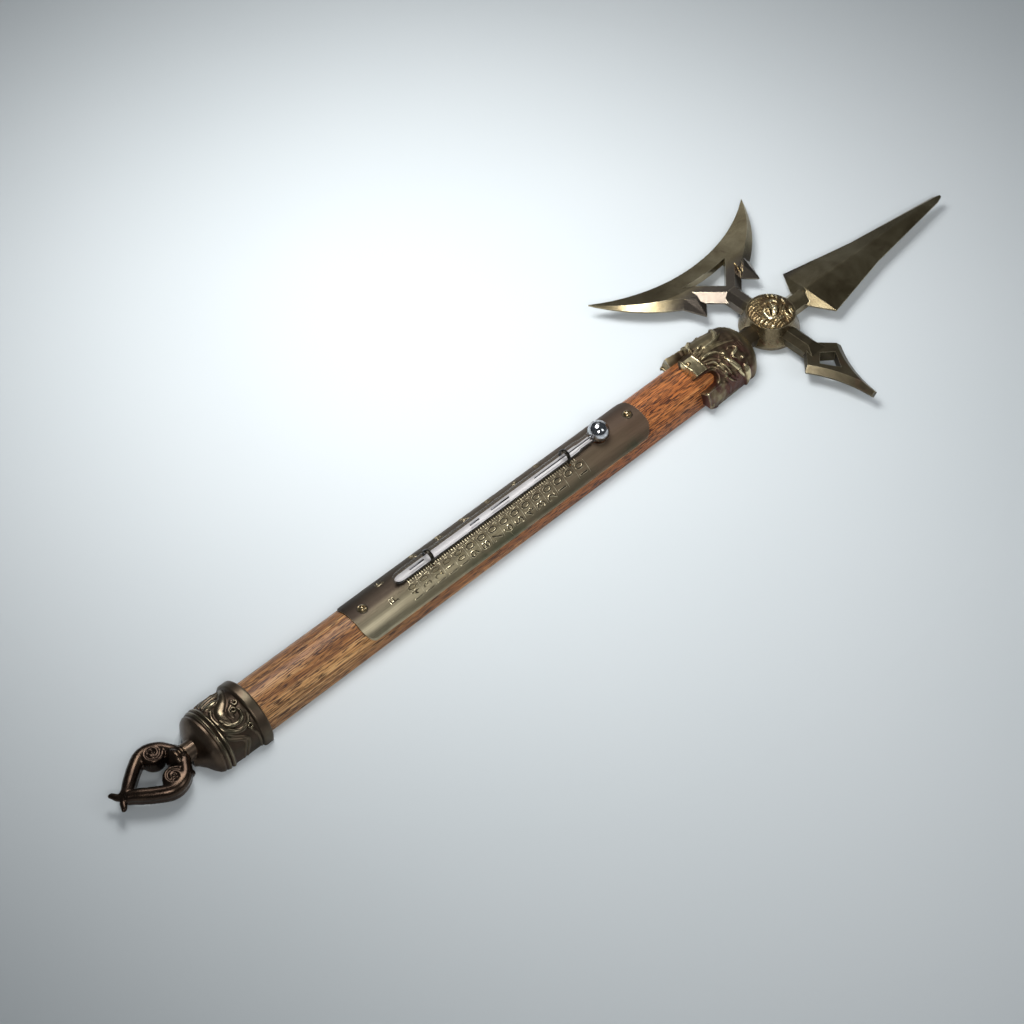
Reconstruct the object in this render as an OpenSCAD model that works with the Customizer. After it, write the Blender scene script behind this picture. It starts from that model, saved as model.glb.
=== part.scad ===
// Wall thermometer in the form of a halberd.
// It lies on its flat back: +Z out of the front, +Y up the hung object towards the finial,
// +X towards the axe. The origin is the hub's centre on the wall plane.

/* [Shaft] */
// Diameter of the round front of the oak shaft
shaft_d = 25.4; // [24:0.1:27]
// Thickness of the shaft from its flat back to its crown
shaft_t = 15.2; // [14.6:0.1:16]
// Distance from the hub's centre to the shaft's head end
shaft_start = 30; // [29:0.5:32]
// Length of the shaft
shaft_len = 312; // [300:1:325]
// Chamfer along the two back edges of the shaft
shaft_chamfer = 0.8; // [0.4:0.1:1.2]

/* [Scale plate] */
// Thickness of the brass scale plate
plate_t = 0.6; // [0.4:0.1:0.8]
// Angle from the crown to each long edge of the plate
plate_angle = 68; // [60:1:72]
// Distance from the shaft's head end to the plate
plate_set = 63; // [60:0.5:66]
// Length of the scale plate
plate_len = 174; // [168:1:180]
// Radius of the plate's corners
plate_corner_r = 5; // [3:0.5:7]
// Distance from the plate's bulb end to its screw
screw_low_set = 5.8; // [5:0.1:7]
// Distance from the plate's other end to its screw
screw_high_set = 7; // [6:0.1:8]

/* [Screws and pins] */
// Diameter of the round screw heads
screw_head_d = 4.4; // [4:0.1:5]
// Height of the round screw heads
screw_head_h = 1.7; // [1.4:0.1:2]
// Diameter of the screw shanks
screw_d = 2.2; // [2:0.1:2.6]
// Length of the screws under the head
screw_len = 10; // [8:0.5:11]
// Diameter of the round heads of the ferrule pins
pin_head_d = 2.6; // [2.2:0.1:3]
// Diameter of the ferrule pins
pin_d = 1.4; // [1.2:0.1:1.6]
// Length of the ferrule pins under the head
pin_len = 7; // [6:0.5:8]

/* [Glass tube] */
// Diameter of the glass stem
tube_d = 5.6; // [5:0.1:6]
// Diameter of the thin neck between bulb and stem
tube_neck_d = 4.4; // [4:0.1:5]
// Diameter of the bulb
bulb_d = 10.3; // [9.5:0.1:10.6]
// Wall thickness of the bulb
bulb_wall = 0.7; // [0.5:0.1:0.9]
// Distance from the plate's end to the bulb's centre
bulb_set = 24.6; // [24:0.2:26]
// Distance from the bulb's centre to the full stem
tube_neck_len = 14; // [12:0.5:15]
// Distance from the stem's closed end to the plate's other end
tube_end_set = 25; // [23:0.5:27]
// Diameter of the capillary bore
bore_d = 1.1; // [1:0.05:1.3]
// Diameter of the wire of the two clips
clip_d = 1; // [0.8:0.1:1.2]
// Distance from the bulb's centre to the nearer clip
clip_low_set = 21.5; // [20:0.5:23]
// Distance from the stem's closed end to the other clip
clip_high_set = 20; // [18:0.5:22]

/* [Mercury] */
// Distance from the bulb's centre to the mark for ten below zero Fahrenheit
mark_low_set = 17.9; // [17:0.1:19]
// Distance from the stem's closed end to the mark for 140 Fahrenheit
mark_high_set = 6; // [5:0.5:8]
// Reading of the column in the stored pose, in degrees Fahrenheit
level_f = 24; // [20:1:30]
// Length of the moving top of the column
meniscus_len = 5; // [4:0.5:6]

/* [Head] */
// Height of the head's middle plane above the wall
axis_z = 6.4; // [6.2:0.1:6.8]
// Greatest radius of the hub, low on its flared foot
hub_r = 15; // [14.5:0.1:16]
// Radius of the hub at its front face
hub_top_r = 12.2; // [12:0.1:12.6]
// Height of the hub's front face
hub_h = 13.8; // [13.4:0.1:14.4]
// Radius of the relief medallion
medal_r = 11.4; // [11:0.1:11.6]
// Thickness of the medallion's rim
medal_t = 1.9; // [1.6:0.1:2.4]
// Height of the medallion's dome above its rim
medal_dome = 2.2; // [1.6:0.1:2.6]
// Width across the flats of the octagonal arms
arm_af = 9.6; // [9:0.1:10]
// Diameter of the round tenons that enter the hub
tenon_d = 6; // [5:0.1:6.4]
// Length of the tenons
tenon_len = 6; // [5:0.1:6.2]
// Diameter of the steel tang from the hub into the shaft
tang_d = 5; // [4.6:0.1:5.6]
// Length of the tang inside the shaft
tang_grip = 36; // [30:1:45]
// Width of a blade's blunted edge
edge_t = 0.8; // [0.6:0.1:1.2]

/* [Spear point] */
// Distance from the hub's centre to the shoulders
spear_set = 29.3; // [28:0.1:31]
// Length from the shoulders to the tip
spear_len = 100.3; // [96:0.5:105]
// Half width at the shoulders
spear_half = 17.3; // [16:0.1:18]
// Height of the ridge at the shoulders, from front to back
spear_t = 11; // [10:0.1:11.6]
// Distance from the shoulders to the place where the taper eases
spear_ease = 41; // [38:0.5:44]
// Half width where the taper eases
spear_ease_half = 9; // [8.4:0.1:9.6]

/* [Axe blade] */
// Distance from the hub's centre to the middle of the cutting edge
axe_edge_x = 51.6; // [50:0.2:53]
// Radius of the hollow cutting edge
axe_edge_r = 98; // [95:0.5:101]
// Distance from the centre line to each tip of the axe
axe_tip_y = 55; // [53:0.5:56]
// Width of the crescent behind the cutting edge
axe_web = 9.3; // [8.8:0.1:11]
// Depth of the crescent behind its middle plane, between the braces
axe_back = 1.6; // [1.2:0.1:3.4]
// Thickness of the axe at its ridges
axe_t = 8.2; // [7.4:0.1:9]
// Width of the slope from the cutting edge to the full thickness
axe_slope = 13; // [12:0.5:15]
// Radius of the convex back of each horn
horn_back_r = 87; // [84:0.5:92]
// Distance from the hub's centre to the root of a horn
horn_root_x = 35; // [34:0.2:36]
// Distance from the centre line to the root of a horn
horn_root_y = 24.7; // [24:0.1:25.5]
// Distance from the hub's centre to the fork of the two braces
fork_x = 23.4; // [22.5:0.1:24.5]
// Angle of each brace from the centre line
brace_angle = 46.4; // [45:0.2:49]
// Width of a brace's flat
brace_w = 4.3; // [4:0.1:4.8]
// Distance from the hub's centre to the tips of the spurs
spur_x = 23.4; // [22:0.1:25]

/* [Beak] */
// Distance from the hub's centre to the beak's tip
beak_tip = 65.6; // [64:0.2:67]
// Distance from the hub's centre to the beak's wings
beak_wing_x = 33.8; // [33:0.2:35]
// Half width across the beak's wings
beak_wing = 12.6; // [12:0.1:13.2]
// Radius of the hollow sides of the beak
beak_side_r = 62; // [56:1:70]
// Thickness of the beak round its window
beak_t = 6; // [5:0.1:7.4]

/* [Ferrules] */
// Radius of the upper ferrule at its mouth
upper_r = 16.3; // [16:0.1:17]
// Length of the upper ferrule along the shaft
upper_grip = 31; // [29:0.5:33]
// Width of the lappet at the upper ferrule's mouth
lappet_w = 13; // [12:0.5:14]
// Length of the lappet at the upper ferrule's mouth
lappet_len = 9; // [8:0.5:10]
// Height of the lappet and the veins over the upper ferrule
relief_h = 0.7; // [0.5:0.1:1]
// Radius of the lower ferrule's body
lower_r = 15.4; // [15:0.1:16]
// Angle by which the upper ferrule's leaves are turned from the crown
upper_turn = -4; // [-6:0.5:0]
// Length of the lower ferrule along the shaft
lower_grip = 18.6; // [17:0.2:20]
// Width of the rim at the lower ferrule's mouth
rim_w = 4.8; // [4:0.2:6]
// Distance from the shaft's end to the joint with the end cap
cap_set = 5; // [4:0.5:7]
// Length of the end cap down to the neck
cap_len = 10; // [9:0.5:12]

/* [Finial] */
// Radius of the neck
neck_r = 4.3; // [4:0.1:5]
// Distance from the neck to the loop's widest place
loop_set = 13; // [12.5:0.1:14]
// Half width of the loop to the middle of its bar
loop_half = 11.2; // [10.8:0.1:12]
// Radius of the arc at each side of the loop
loop_r = 7.5; // [7:0.1:8]
// Angle of the straight bars from the shaft's line
loop_lean = 35; // [32:1:38]
// Width of the loop's bars
bar_w = 5; // [4.4:0.1:5.6]
// Thickness of the loop from front to back
loop_deep = 7; // [6.4:0.1:8]
// Length of the fish tail beyond the loop
tail_len = 6.6; // [6:0.1:8]

/* [Hidden] */
$fn = 48;
fit_gap = 0.05;
slide_gap = 0.1;
bore_gap = 0.15;
cradle_gap = 0.4;

shaft_r = shaft_d / 2;
shaft_z = shaft_t - shaft_r;
shaft_end = shaft_start + shaft_len;

plate_r = shaft_r + fit_gap;
plate_top = shaft_z + plate_r + plate_t;
plate_start = shaft_start + plate_set;
plate_end = plate_start + plate_len;
screw_low_y = plate_start + screw_low_set;
screw_high_y = plate_end - screw_high_set;

tube_r = tube_d / 2;
tube_z = plate_top + tube_r + fit_gap;
tube_end = plate_end - tube_end_set;
bulb_r = bulb_d / 2;
bulb_y = plate_start + bulb_set;
bore_r = bore_d / 2;
enamel_z = tube_z - bore_r - 0.35;
stem_y = bulb_y + tube_neck_len;
stem_round = 2.6;
clip_low_y = bulb_y + clip_low_set;
clip_high_y = tube_end - clip_high_set;
clip_x = tube_r + clip_d / 2 + fit_gap;
clip_leg = 6;

mark_low_y = bulb_y + mark_low_set;
mark_high_y = tube_end - mark_high_set;
bore_end = mark_high_y + 3;
mercury_r = bore_r - fit_gap;
meniscus_r = bore_r - slide_gap;
reservoir_neck = 6;

arm_r = arm_af / 2 / cos(22.5);
hub_seat = hub_r - 3;
tang_r = tang_d / 2;
tang_end = shaft_start + tang_grip;
stud_r = 2;
stud_grip = 21;
medal_floor = hub_h - medal_t + 0.3 + fit_gap;
medal_stud_z = 4.5;

upper_in = shaft_r + bore_gap;
upper_mouth = shaft_start + upper_grip;
lobe_notch_r = 3.9;
lobe_notch_deep = 11.5;
lower_mouth = shaft_end - lower_grip;
rim_h = 1;
cap_y = shaft_end + cap_set;
neck_y = cap_y + cap_len;
front_pin_y = upper_mouth - 2.9;
side_pin_y = upper_mouth - 3.5;
side_pin_angle = 86;
lower_pin_y = lower_mouth + rim_w + 3.1;

loop_y = neck_y + loop_set;
loop_turn = loop_half - loop_r;
bar_r = bar_w / 2;
bar_end_x = loop_turn + loop_r * cos(loop_lean);
bar_len = (bar_end_x - 1.4) / sin(loop_lean);
loop_top = loop_y + loop_r * sin(loop_lean) + bar_len * cos(loop_lean);
finial_tip = loop_top + tail_len;

// Height of the column at a reading in degrees Fahrenheit
function reading_y(f) = mark_low_y + (f + 10) * (mark_high_y - mark_low_y) / 150;

// Centre of the circle of radius r through a and b, on the side given by its sign
function arc_centre(a, b, r) = let(d = b - a, l = norm(d), h = sqrt(r * r - l * l / 4))
  (a + b) / 2 + sign(r) * h * [-d[1], d[0]] / l;

// A cylinder along Y from y0 to y1, on an axis at height z
module rod_y(r, y0, y1, z, x = 0) {
  translate([x, y0, z]) rotate([-90, 0, 0]) cylinder(r = r, h = y1 - y0);
}

// A profile of radius and position points turned about the Y axis at height z
module turned_y(profile, z) {
  translate([0, 0, z]) rotate([-90, 0, 0]) rotate([0, 0, 180])
    rotate_extrude() polygon(profile);
}

// The space in front of the wall plane
module front_half(y0, y1, w = 60) {
  translate([-w / 2, y0, 0]) cube([w, y1 - y0, 40]);
}

// Places children on the shaft's surface: the angle runs from the crown towards the axe
module radial(angle, y, r0) {
  translate([0, y, shaft_z]) rotate([0, angle, 0]) translate([0, 0, r0]) children();
}

// A round head with its flat underside at z = 0
module round_head(d, h) {
  big = (d * d / 4 + h * h) / (2 * h);
  intersection() {
    translate([0, 0, h - big]) sphere(r = big);
    cylinder(d = d, h = h);
  }
}

// Oak

module oak_shaft() color([0.62, 0.36, 0.18]) difference() {
  intersection() {
    rod_y(shaft_r, shaft_start, shaft_end, shaft_z);
    front_half(shaft_start - 1, shaft_end + 1);
  }
  for (side = [-1, 1])
    translate([side * sqrt(shaft_r * shaft_r - shaft_z * shaft_z), shaft_start - 1, 0])
      rotate([0, 45, 0]) cube([shaft_chamfer * sqrt(2), 2 * (shaft_len + 2),
        shaft_chamfer * sqrt(2)], center = true);
  rod_y(tang_r + bore_gap, shaft_start - 1, tang_end + 1, axis_z);
  rod_y(stud_r + bore_gap, shaft_end - stud_grip - 1, shaft_end + 1, axis_z);
  translate([0, bulb_y, tube_z]) sphere(r = bulb_r + cradle_gap);
  for (y = [screw_low_y, screw_high_y])
    translate([0, y, plate_top - screw_len]) cylinder(r = screw_d / 2 + fit_gap, h = screw_len);
  for (y = [clip_low_y, clip_high_y], side = [-1, 1])
    translate([side * clip_x, y, plate_top - clip_leg])
      cylinder(r = clip_d / 2 + fit_gap, h = clip_leg);
  for (side = [-1, 1]) pin_hole(side * side_pin_angle, side_pin_y, upper_r);
  pin_hole(0, front_pin_y, upper_r + relief_h);
  pin_hole(0, lower_pin_y, lower_r);
}

// The pilot hole for a pin whose head sits at radius r
module pin_hole(angle, y, r) {
  radial(angle, y, r - pin_len) cylinder(r = pin_d / 2 + fit_gap, h = pin_len);
}

// Scale plate and its screws

module plate_outline() {
  wide = 2 * plate_r * sin(plate_angle);
  c = plate_corner_r;
  translate([-wide / 2, plate_start]) {
    translate([0, c]) square([wide, plate_len - 2 * c]);
    translate([c, 0]) square([wide - 2 * c, plate_len]);
    for (x = [c, wide - c], y = [c, plate_len - c]) translate([x, y]) circle(r = c);
  }
}

module scale_plate() color([0.47, 0.41, 0.27]) difference() {
  intersection() {
    difference() {
      rod_y(plate_r + plate_t, plate_start, plate_end, shaft_z);
      rod_y(plate_r, plate_start - 1, plate_end + 1, shaft_z);
    }
    translate([0, 0, shaft_z + 1]) linear_extrude(30) plate_outline();
  }
  for (y = [screw_low_y, screw_high_y])
    translate([0, y, shaft_z]) cylinder(r = screw_d / 2 + slide_gap, h = 30);
  for (y = [clip_low_y, clip_high_y], side = [-1, 1])
    translate([side * clip_x, y, shaft_z]) cylinder(r = clip_d / 2 + slide_gap, h = 30);
  translate([0, bulb_y, tube_z]) sphere(r = bulb_r + cradle_gap);
}

module plate_screw(y) color([0.7, 0.6, 0.38]) translate([0, y, plate_top + fit_gap])
  difference() {
    union() {
      round_head(screw_head_d, screw_head_h);
      translate([0, 0, 0.5 - screw_len]) cylinder(d = screw_d, h = screw_len);
    }
    rotate([0, 0, 35]) translate([-screw_head_d, -0.3, screw_head_h / 2])
      cube([2 * screw_head_d, 0.6, screw_head_h]);
  }

// Thermometer tube

module glass_tube() color([0.85, 0.9, 0.92, 0.4]) difference() {
  union() {
    translate([0, bulb_y, tube_z]) sphere(r = bulb_r);
    turned_y([[0, bulb_y], [tube_neck_d / 2, bulb_y], [tube_neck_d / 2, stem_y - 3],
      [tube_r, stem_y], [tube_r, tube_end - stem_round], [tube_r * 0.9, tube_end - 1.4],
      [tube_r * 0.66, tube_end - 0.5], [tube_r * 0.35, tube_end], [0, tube_end]], tube_z);
  }
  translate([0, bulb_y, tube_z]) sphere(r = bulb_r - bulb_wall);
  rod_y(bore_r, bulb_y, bore_end, tube_z);
  translate([-tube_r - 1, stem_y, enamel_z - 10]) cube([tube_d + 2, tube_end - stem_y + 1, 10]);
}

// White opal backing, fused behind the bore
module enamel_strip() color([0.95, 0.95, 0.93]) intersection() {
  rod_y(tube_r, stem_y + fit_gap, tube_end - stem_round, tube_z);
  translate([-tube_r - 1, stem_y, enamel_z - fit_gap - 10])
    cube([tube_d + 2, tube_end - stem_y, 10]);
}

module mercury_reservoir() color([0.75, 0.77, 0.8]) {
  translate([0, bulb_y, tube_z]) sphere(r = bulb_r - bulb_wall - fit_gap);
  rod_y(mercury_r, bulb_y, bulb_y + reservoir_neck, tube_z);
}

// The column below its moving top, and the parted lengths that stay above it
module mercury_thread() color([0.6, 0.62, 0.65]) {
  rod_y(mercury_r, bulb_y + reservoir_neck + fit_gap,
    reading_y(level_f) - meniscus_len - fit_gap, tube_z);
  for (part = [[47, 63], [74, 82], [123, 135]])
    rod_y(mercury_r, reading_y(part[0]), reading_y(part[1]), tube_z);
}

module mercury_meniscus() color([0.6, 0.62, 0.65]) {
  top = reading_y(level_f);
  turned_y([[0, top - meniscus_len], [meniscus_r, top - meniscus_len],
    [meniscus_r, top - 0.3], [meniscus_r * 0.6, top], [0, top]], tube_z);
}

// A wire staple over the tube, with its legs through the plate into the oak
module tube_clip(y) color([0.2, 0.18, 0.15]) translate([0, y, tube_z]) {
  rotate([90, 0, 0]) rotate_extrude(angle = 180) translate([clip_x, 0]) circle(d = clip_d);
  for (side = [-1, 1]) translate([side * clip_x, 0, plate_top - clip_leg - tube_z])
    cylinder(d = clip_d, h = tube_z - plate_top + clip_leg);
}

// Ferrules

// The notch between two lobes of the mouth, cut along the radius at this angle
module mouth_notch(angle, floor_y, r) {
  translate([0, 0, shaft_z]) rotate([0, angle, 0]) linear_extrude(40) {
    translate([0, floor_y + r]) circle(r = r);
    translate([-r, floor_y + r]) square([2 * r, 30]);
  }
}

// The upper ferrule's outline, grown by this much
function upper_profile(grow) = [[0, shaft_start - 14.5], [6.2 + grow, shaft_start - 14],
  [10 + grow, shaft_start - 11.5], [12.8 + grow, shaft_start - 8],
  [14.6 + grow, shaft_start - 3.5], [upper_r - 0.7 + grow, shaft_start + 2],
  [upper_r - 0.3 + grow, shaft_start + 12], [upper_r + grow, shaft_start + 20],
  [upper_r + grow, upper_mouth], [0, upper_mouth]];

// Leaf veins that rise from the neck and stop under the lappet, and the lappet itself
module upper_relief() intersection() {
  turned_y(upper_profile(relief_h), shaft_z);
  union() {
    for (a = [-52, -26, 0, 26, 52])
      translate([0, shaft_start - 9, shaft_z]) rotate([0, upper_turn + a, 0])
        translate([-0.8, 0, 4]) cube([1.6, upper_grip - lappet_len + 6, 30]);
    translate([0, upper_mouth - lappet_len, shaft_z]) rotate([0, upper_turn, 0])
      translate([-lappet_w / 2, 0, 0]) cube([lappet_w, lappet_len + 1, 30]);
  }
}

module upper_ferrule() color([0.5, 0.42, 0.26]) difference() {
  union() {
    intersection() {
      union() {
        turned_y(upper_profile(0), shaft_z);
        upper_relief();
      }
      front_half(10, upper_mouth + 1);
    }
    translate([0, 0, axis_z]) rotate([-90, 0, 0]) rotate([0, 0, 22.5])
      translate([0, 0, hub_seat + fit_gap]) cylinder(r = arm_r, h = 12, $fn = 8);
  }
  rod_y(upper_in, shaft_start - fit_gap, upper_mouth + 20, shaft_z);
  rod_y(tang_r + bore_gap, 0, shaft_start + 10, axis_z);
  for (side = [-1, 1]) {
    mouth_notch(upper_turn + side * 38, upper_mouth - lobe_notch_deep, lobe_notch_r);
    radial(side * side_pin_angle, side_pin_y, 0) cylinder(r = pin_d / 2 + slide_gap, h = 20);
  }
  radial(0, front_pin_y, 0) cylinder(r = pin_d / 2 + slide_gap, h = 20);
}

// A pin with a round head that sits at radius r from the shaft's centre
module ferrule_pin(angle, y, r) color([0.66, 0.55, 0.33]) radial(angle, y, r + fit_gap) {
  round_head(pin_head_d, 1);
  translate([0, 0, -pin_len]) cylinder(d = pin_d, h = pin_len + 0.3);
}

// A raised C scroll with its mouth towards this side, wrapped on the lower ferrule
module scroll(angle, side) {
  y = (lower_mouth + rim_w + cap_y) / 2 - 0.6;
  intersection() {
    rod_y(lower_r + relief_h, lower_mouth + rim_w, cap_y - 4, shaft_z);
    radial(angle, y, 4) mirror([side, 0, 0]) linear_extrude(20) {
      difference() {
        circle(r = 6.4);
        circle(r = 4.9);
        translate([1, -1.5]) square([10, 10]);
      }
      translate([1.6, -1.4]) circle(r = 1.7);
      translate([-1.2, 1.4]) circle(r = 1.5);
    }
  }
}

module lower_ferrule() color([0.36, 0.29, 0.18]) difference() {
  union() {
    intersection() {
      turned_y([[0, lower_mouth], [lower_r + rim_h - 0.4, lower_mouth],
        [lower_r + rim_h, lower_mouth + 1.5], [lower_r + rim_h, lower_mouth + rim_w],
        [lower_r + 0.4, lower_mouth + rim_w + 1], [lower_r - 0.3, lower_mouth + rim_w + 2],
        [lower_r - 0.6, cap_y - 4.6], [lower_r, cap_y - 3.6], [lower_r, cap_y - 2.6],
        [lower_r - 0.5, cap_y - 1.8], [lower_r - 0.2, cap_y - 1.2],
        [lower_r - 0.2, cap_y - 0.6], [lower_r - 0.8, cap_y], [0, cap_y]], shaft_z);
      front_half(lower_mouth - 1, cap_y + 1);
    }
    scroll(-20, 0);
    scroll(34, 1);
  }
  rod_y(upper_in, lower_mouth - 1, shaft_end + fit_gap, shaft_z);
  rod_y(stud_r + bore_gap, shaft_end - 1, cap_y + 1, axis_z);
  radial(0, lower_pin_y, 0) cylinder(r = pin_d / 2 + slide_gap, h = 20);
}

module end_cap() color([0.24, 0.17, 0.13]) difference() {
  union() {
    intersection() {
      turned_y([[0, cap_y + fit_gap], [lower_r - 1, cap_y + fit_gap], [lower_r - 0.8, cap_y + 1],
        [lower_r - 1.6, cap_y + 2.4], [lower_r - 4, cap_y + 4], [lower_r - 7.2, cap_y + 5.4],
        [neck_r + 1.3, cap_y + 7.4], [neck_r + 0.3, neck_y - 1.2], [0, neck_y - 1.2]], shaft_z);
      front_half(cap_y - 1, neck_y + 1);
    }
    rod_y(neck_r, cap_y + 3, neck_y, axis_z);
  }
  rod_y(stud_r + bore_gap, cap_y - 1, neck_y + 1, axis_z);
}

// Finial

// The bars' section, deeper than it is wide, with chamfered corners
module bar_section() {
  deep = loop_deep / 2;
  c = bar_w * 0.3;
  polygon([[-bar_r, c - deep], [c - bar_r, -deep], [bar_r - c, -deep], [bar_r, c - deep],
    [bar_r, deep - c], [bar_r - c, deep], [c - bar_r, deep], [-bar_r, deep - c]]);
}

// One side of the loop: an arc from the neck out and round, then a straight bar to the top
module loop_side() {
  translate([loop_turn, loop_y, 0]) {
    rotate([0, 0, -118]) rotate_extrude(angle = 118 + loop_lean)
      translate([loop_r, 0]) bar_section();
    rotate([0, 0, loop_lean]) translate([loop_r, 0, 0]) rotate([-90, 0, 0])
      linear_extrude(bar_len) bar_section();
  }
}

module finial() color([0.26, 0.19, 0.13]) difference() {
  base = loop_y - loop_r;
  union() {
    turned_y([[0, neck_y + fit_gap], [neck_r, neck_y + fit_gap], [neck_r + 0.5, neck_y + 2],
      [neck_r + 1.5, base - 1.1], [neck_r + 0.3, base + 2], [0, base + 2.9]], axis_z);
    translate([0, 0, axis_z]) {
      for (side = [0, 1]) mirror([side, 0, 0]) loop_side();
      linear_extrude(loop_deep - 2, center = true) polygon([[-3.4, loop_top - 5.8],
        [0, loop_top - 7.6], [3.4, loop_top - 5.8], [2, loop_top + 1.8], [-2, loop_top + 1.8]]);
      linear_extrude(3.6, center = true) polygon([[-1.8, loop_top - 1.2], [1.8, loop_top - 1.2],
        [2.2, finial_tip - 4.4], [4.4, finial_tip - 0.8], [3.6, finial_tip], [0, finial_tip - 3],
        [-3.6, finial_tip], [-4.4, finial_tip - 0.8], [-2.2, finial_tip - 4.4]]);
    }
  }
  rod_y(stud_r + bore_gap, neck_y - 1, neck_y + 4.5, axis_z);
}

module finial_stud() color([0.5, 0.5, 0.5])
  rod_y(stud_r, shaft_end - stud_grip, neck_y + 4, axis_z);

module head_tang() color([0.45, 0.45, 0.45]) rod_y(tang_r, hub_seat - tenon_len, tang_end, axis_z);

// Hub and medallion

module arm_socket() {
  translate([hub_seat, 0, axis_z]) rotate([0, 90, 0]) rotate([0, 0, 22.5])
    cylinder(r = arm_r + fit_gap, h = 10, $fn = 8);
}

module hub() color([0.52, 0.46, 0.32]) difference() {
  rotate_extrude() polygon([[0, 0], [hub_r - 3, 0], [hub_r - 0.8, 1.6], [hub_r, 4],
    [hub_r - 0.3, 5.4], [hub_top_r + 1.2, 8.4], [hub_top_r + 0.3, hub_h - 2.4],
    [hub_top_r, hub_h - 0.6], [hub_top_r - 0.2, hub_h], [0, hub_h]]);
  for (a = [0, 90, 180, 270]) rotate([0, 0, a]) arm_socket();
  for (a = [0, 180, 270]) rotate([0, 0, a]) translate([hub_seat - tenon_len - 0.1, 0, axis_z])
    rotate([0, 90, 0]) cylinder(r = tenon_d / 2 + fit_gap, h = tenon_len + 4);
  rod_y(tang_r + fit_gap, hub_seat - tenon_len - 0.1, hub_r + 5, axis_z);
  translate([0, 0, medal_floor - fit_gap]) cylinder(r = medal_r + fit_gap, h = 3);
  translate([0, 0, medal_stud_z - 0.2]) cylinder(r = stud_r + fit_gap, h = hub_h);
}

// A ball of radius r sunk in the dome so that it stands this far out
module boss(x, y, r, proud) {
  big = (medal_r * medal_r + medal_dome * medal_dome) / (2 * medal_dome);
  z = medal_t + medal_dome - big + sqrt(big * big - x * x - y * y);
  translate([x, y, z - r + proud]) sphere(r = r);
}

// Lion mask: brow, cheeks, muzzle and chin in a ring of mane locks
module medallion() color([0.6, 0.47, 0.27]) translate([0, 0, medal_floor]) {
  big = (medal_r * medal_r + medal_dome * medal_dome) / (2 * medal_dome);
  intersection() {
    cylinder(r = medal_r, h = 8);
    union() {
      translate([0, 0, medal_t + medal_dome - big]) sphere(r = big);
      for (a = [0 : 30 : 330]) boss(8 * sin(a), 8 * cos(a), 2.4, 0.8);
      for (side = [-1, 1]) {
        boss(side * 2.9, 2.2, 2.6, 1);
        boss(side * 1.9, -1.6, 2.2, 1.1);
      }
      boss(0, 0.6, 1.9, 1.5);
      boss(0, -4.2, 2, 0.8);
    }
  }
  translate([0, 0, medal_stud_z - medal_floor])
    cylinder(r = stud_r, h = medal_floor - medal_stud_z + 1);
}

// Blades

// The octagonal arm of a blade along +X, with its tenon
module arm(reach) {
  translate([hub_seat + fit_gap, 0, 0]) rotate([0, 90, 0]) rotate([0, 0, 22.5])
    cylinder(r = arm_r, h = reach - hub_seat - fit_gap, $fn = 8);
  translate([hub_seat - tenon_len, 0, 0]) rotate([0, 90, 0])
    cylinder(d = tenon_d, h = tenon_len + 1);
}

// A thin diamond section across X, used as one station of the spear point
module station(x, half_w, half_t) {
  translate([x, 0, 0]) rotate([90, 0, 90]) linear_extrude(0.05)
    polygon([[-half_w, edge_t / 2], [-half_w, -edge_t / 2], [-edge_t / 2, -half_t],
      [edge_t / 2, -half_t], [half_w, -edge_t / 2], [half_w, edge_t / 2],
      [edge_t / 2, half_t], [-edge_t / 2, half_t]]);
}

// The ridge ends a little above the shoulders, where steep facets fall to the neck
module ridge_end() {
  translate([spear_set - 4, 0, 0]) cube([0.1, edge_t, spear_t], center = true);
}

module spear_point() color([0.42, 0.38, 0.29]) translate([0, 0, axis_z]) rotate([0, 0, -90]) {
  tip = spear_set + spear_len;
  arm(spear_set - 6);
  hull() {
    translate([spear_set - 8, 0, 0]) cube([0.1, arm_af - 0.8, edge_t], center = true);
    ridge_end();
    station(spear_set, spear_half, 1);
  }
  hull() {
    ridge_end();
    station(spear_set, spear_half, 1);
    station(spear_set + spear_ease, spear_ease_half, 3.6);
  }
  hull() {
    station(spear_set + spear_ease, spear_ease_half, 3.6);
    station(tip - 4, 2.1, 1.7);
    station(tip, 0.7, 0.6);
  }
}

// All the space that the axe may fill, down to this depth: it thins towards the cutting edge
module edge_field(deep) {
  h = axe_t / 2;
  translate([axe_edge_x + axe_edge_r, 0, 0]) rotate_extrude($fn = 360) polygon([
    [axe_edge_r, -edge_t / 2], [axe_edge_r + axe_slope, -deep],
    [axe_edge_r + axe_edge_x, -deep],
    [axe_edge_r + axe_edge_x, h], [axe_edge_r + axe_slope, h], [axe_edge_r, edge_t / 2]]);
}

// A disc whose rim is bevelled to an edge, which makes the sloping back of a horn
module bevelled_disc(r) {
  w = 9;
  rotate_extrude($fn = 360) polygon([[0, -w], [r - w + edge_t / 2, -w], [r, -edge_t / 2],
    [r, edge_t / 2], [r - w + edge_t / 2, w], [0, w]]);
}

// One horn, between the cutting edge and a convex back through its root and its tip
module horn() {
  tip = [axe_edge_x + axe_edge_r - sqrt(axe_edge_r * axe_edge_r - axe_tip_y * axe_tip_y),
    axe_tip_y];
  c = arc_centre(tip, [horn_root_x, horn_root_y], horn_back_r);
  intersection() {
    translate([c[0], c[1], 0]) bevelled_disc(horn_back_r);
    translate([horn_root_x - 4, horn_root_y - 9.7, -10]) cube([60, 60, 20]);
  }
}

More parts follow.
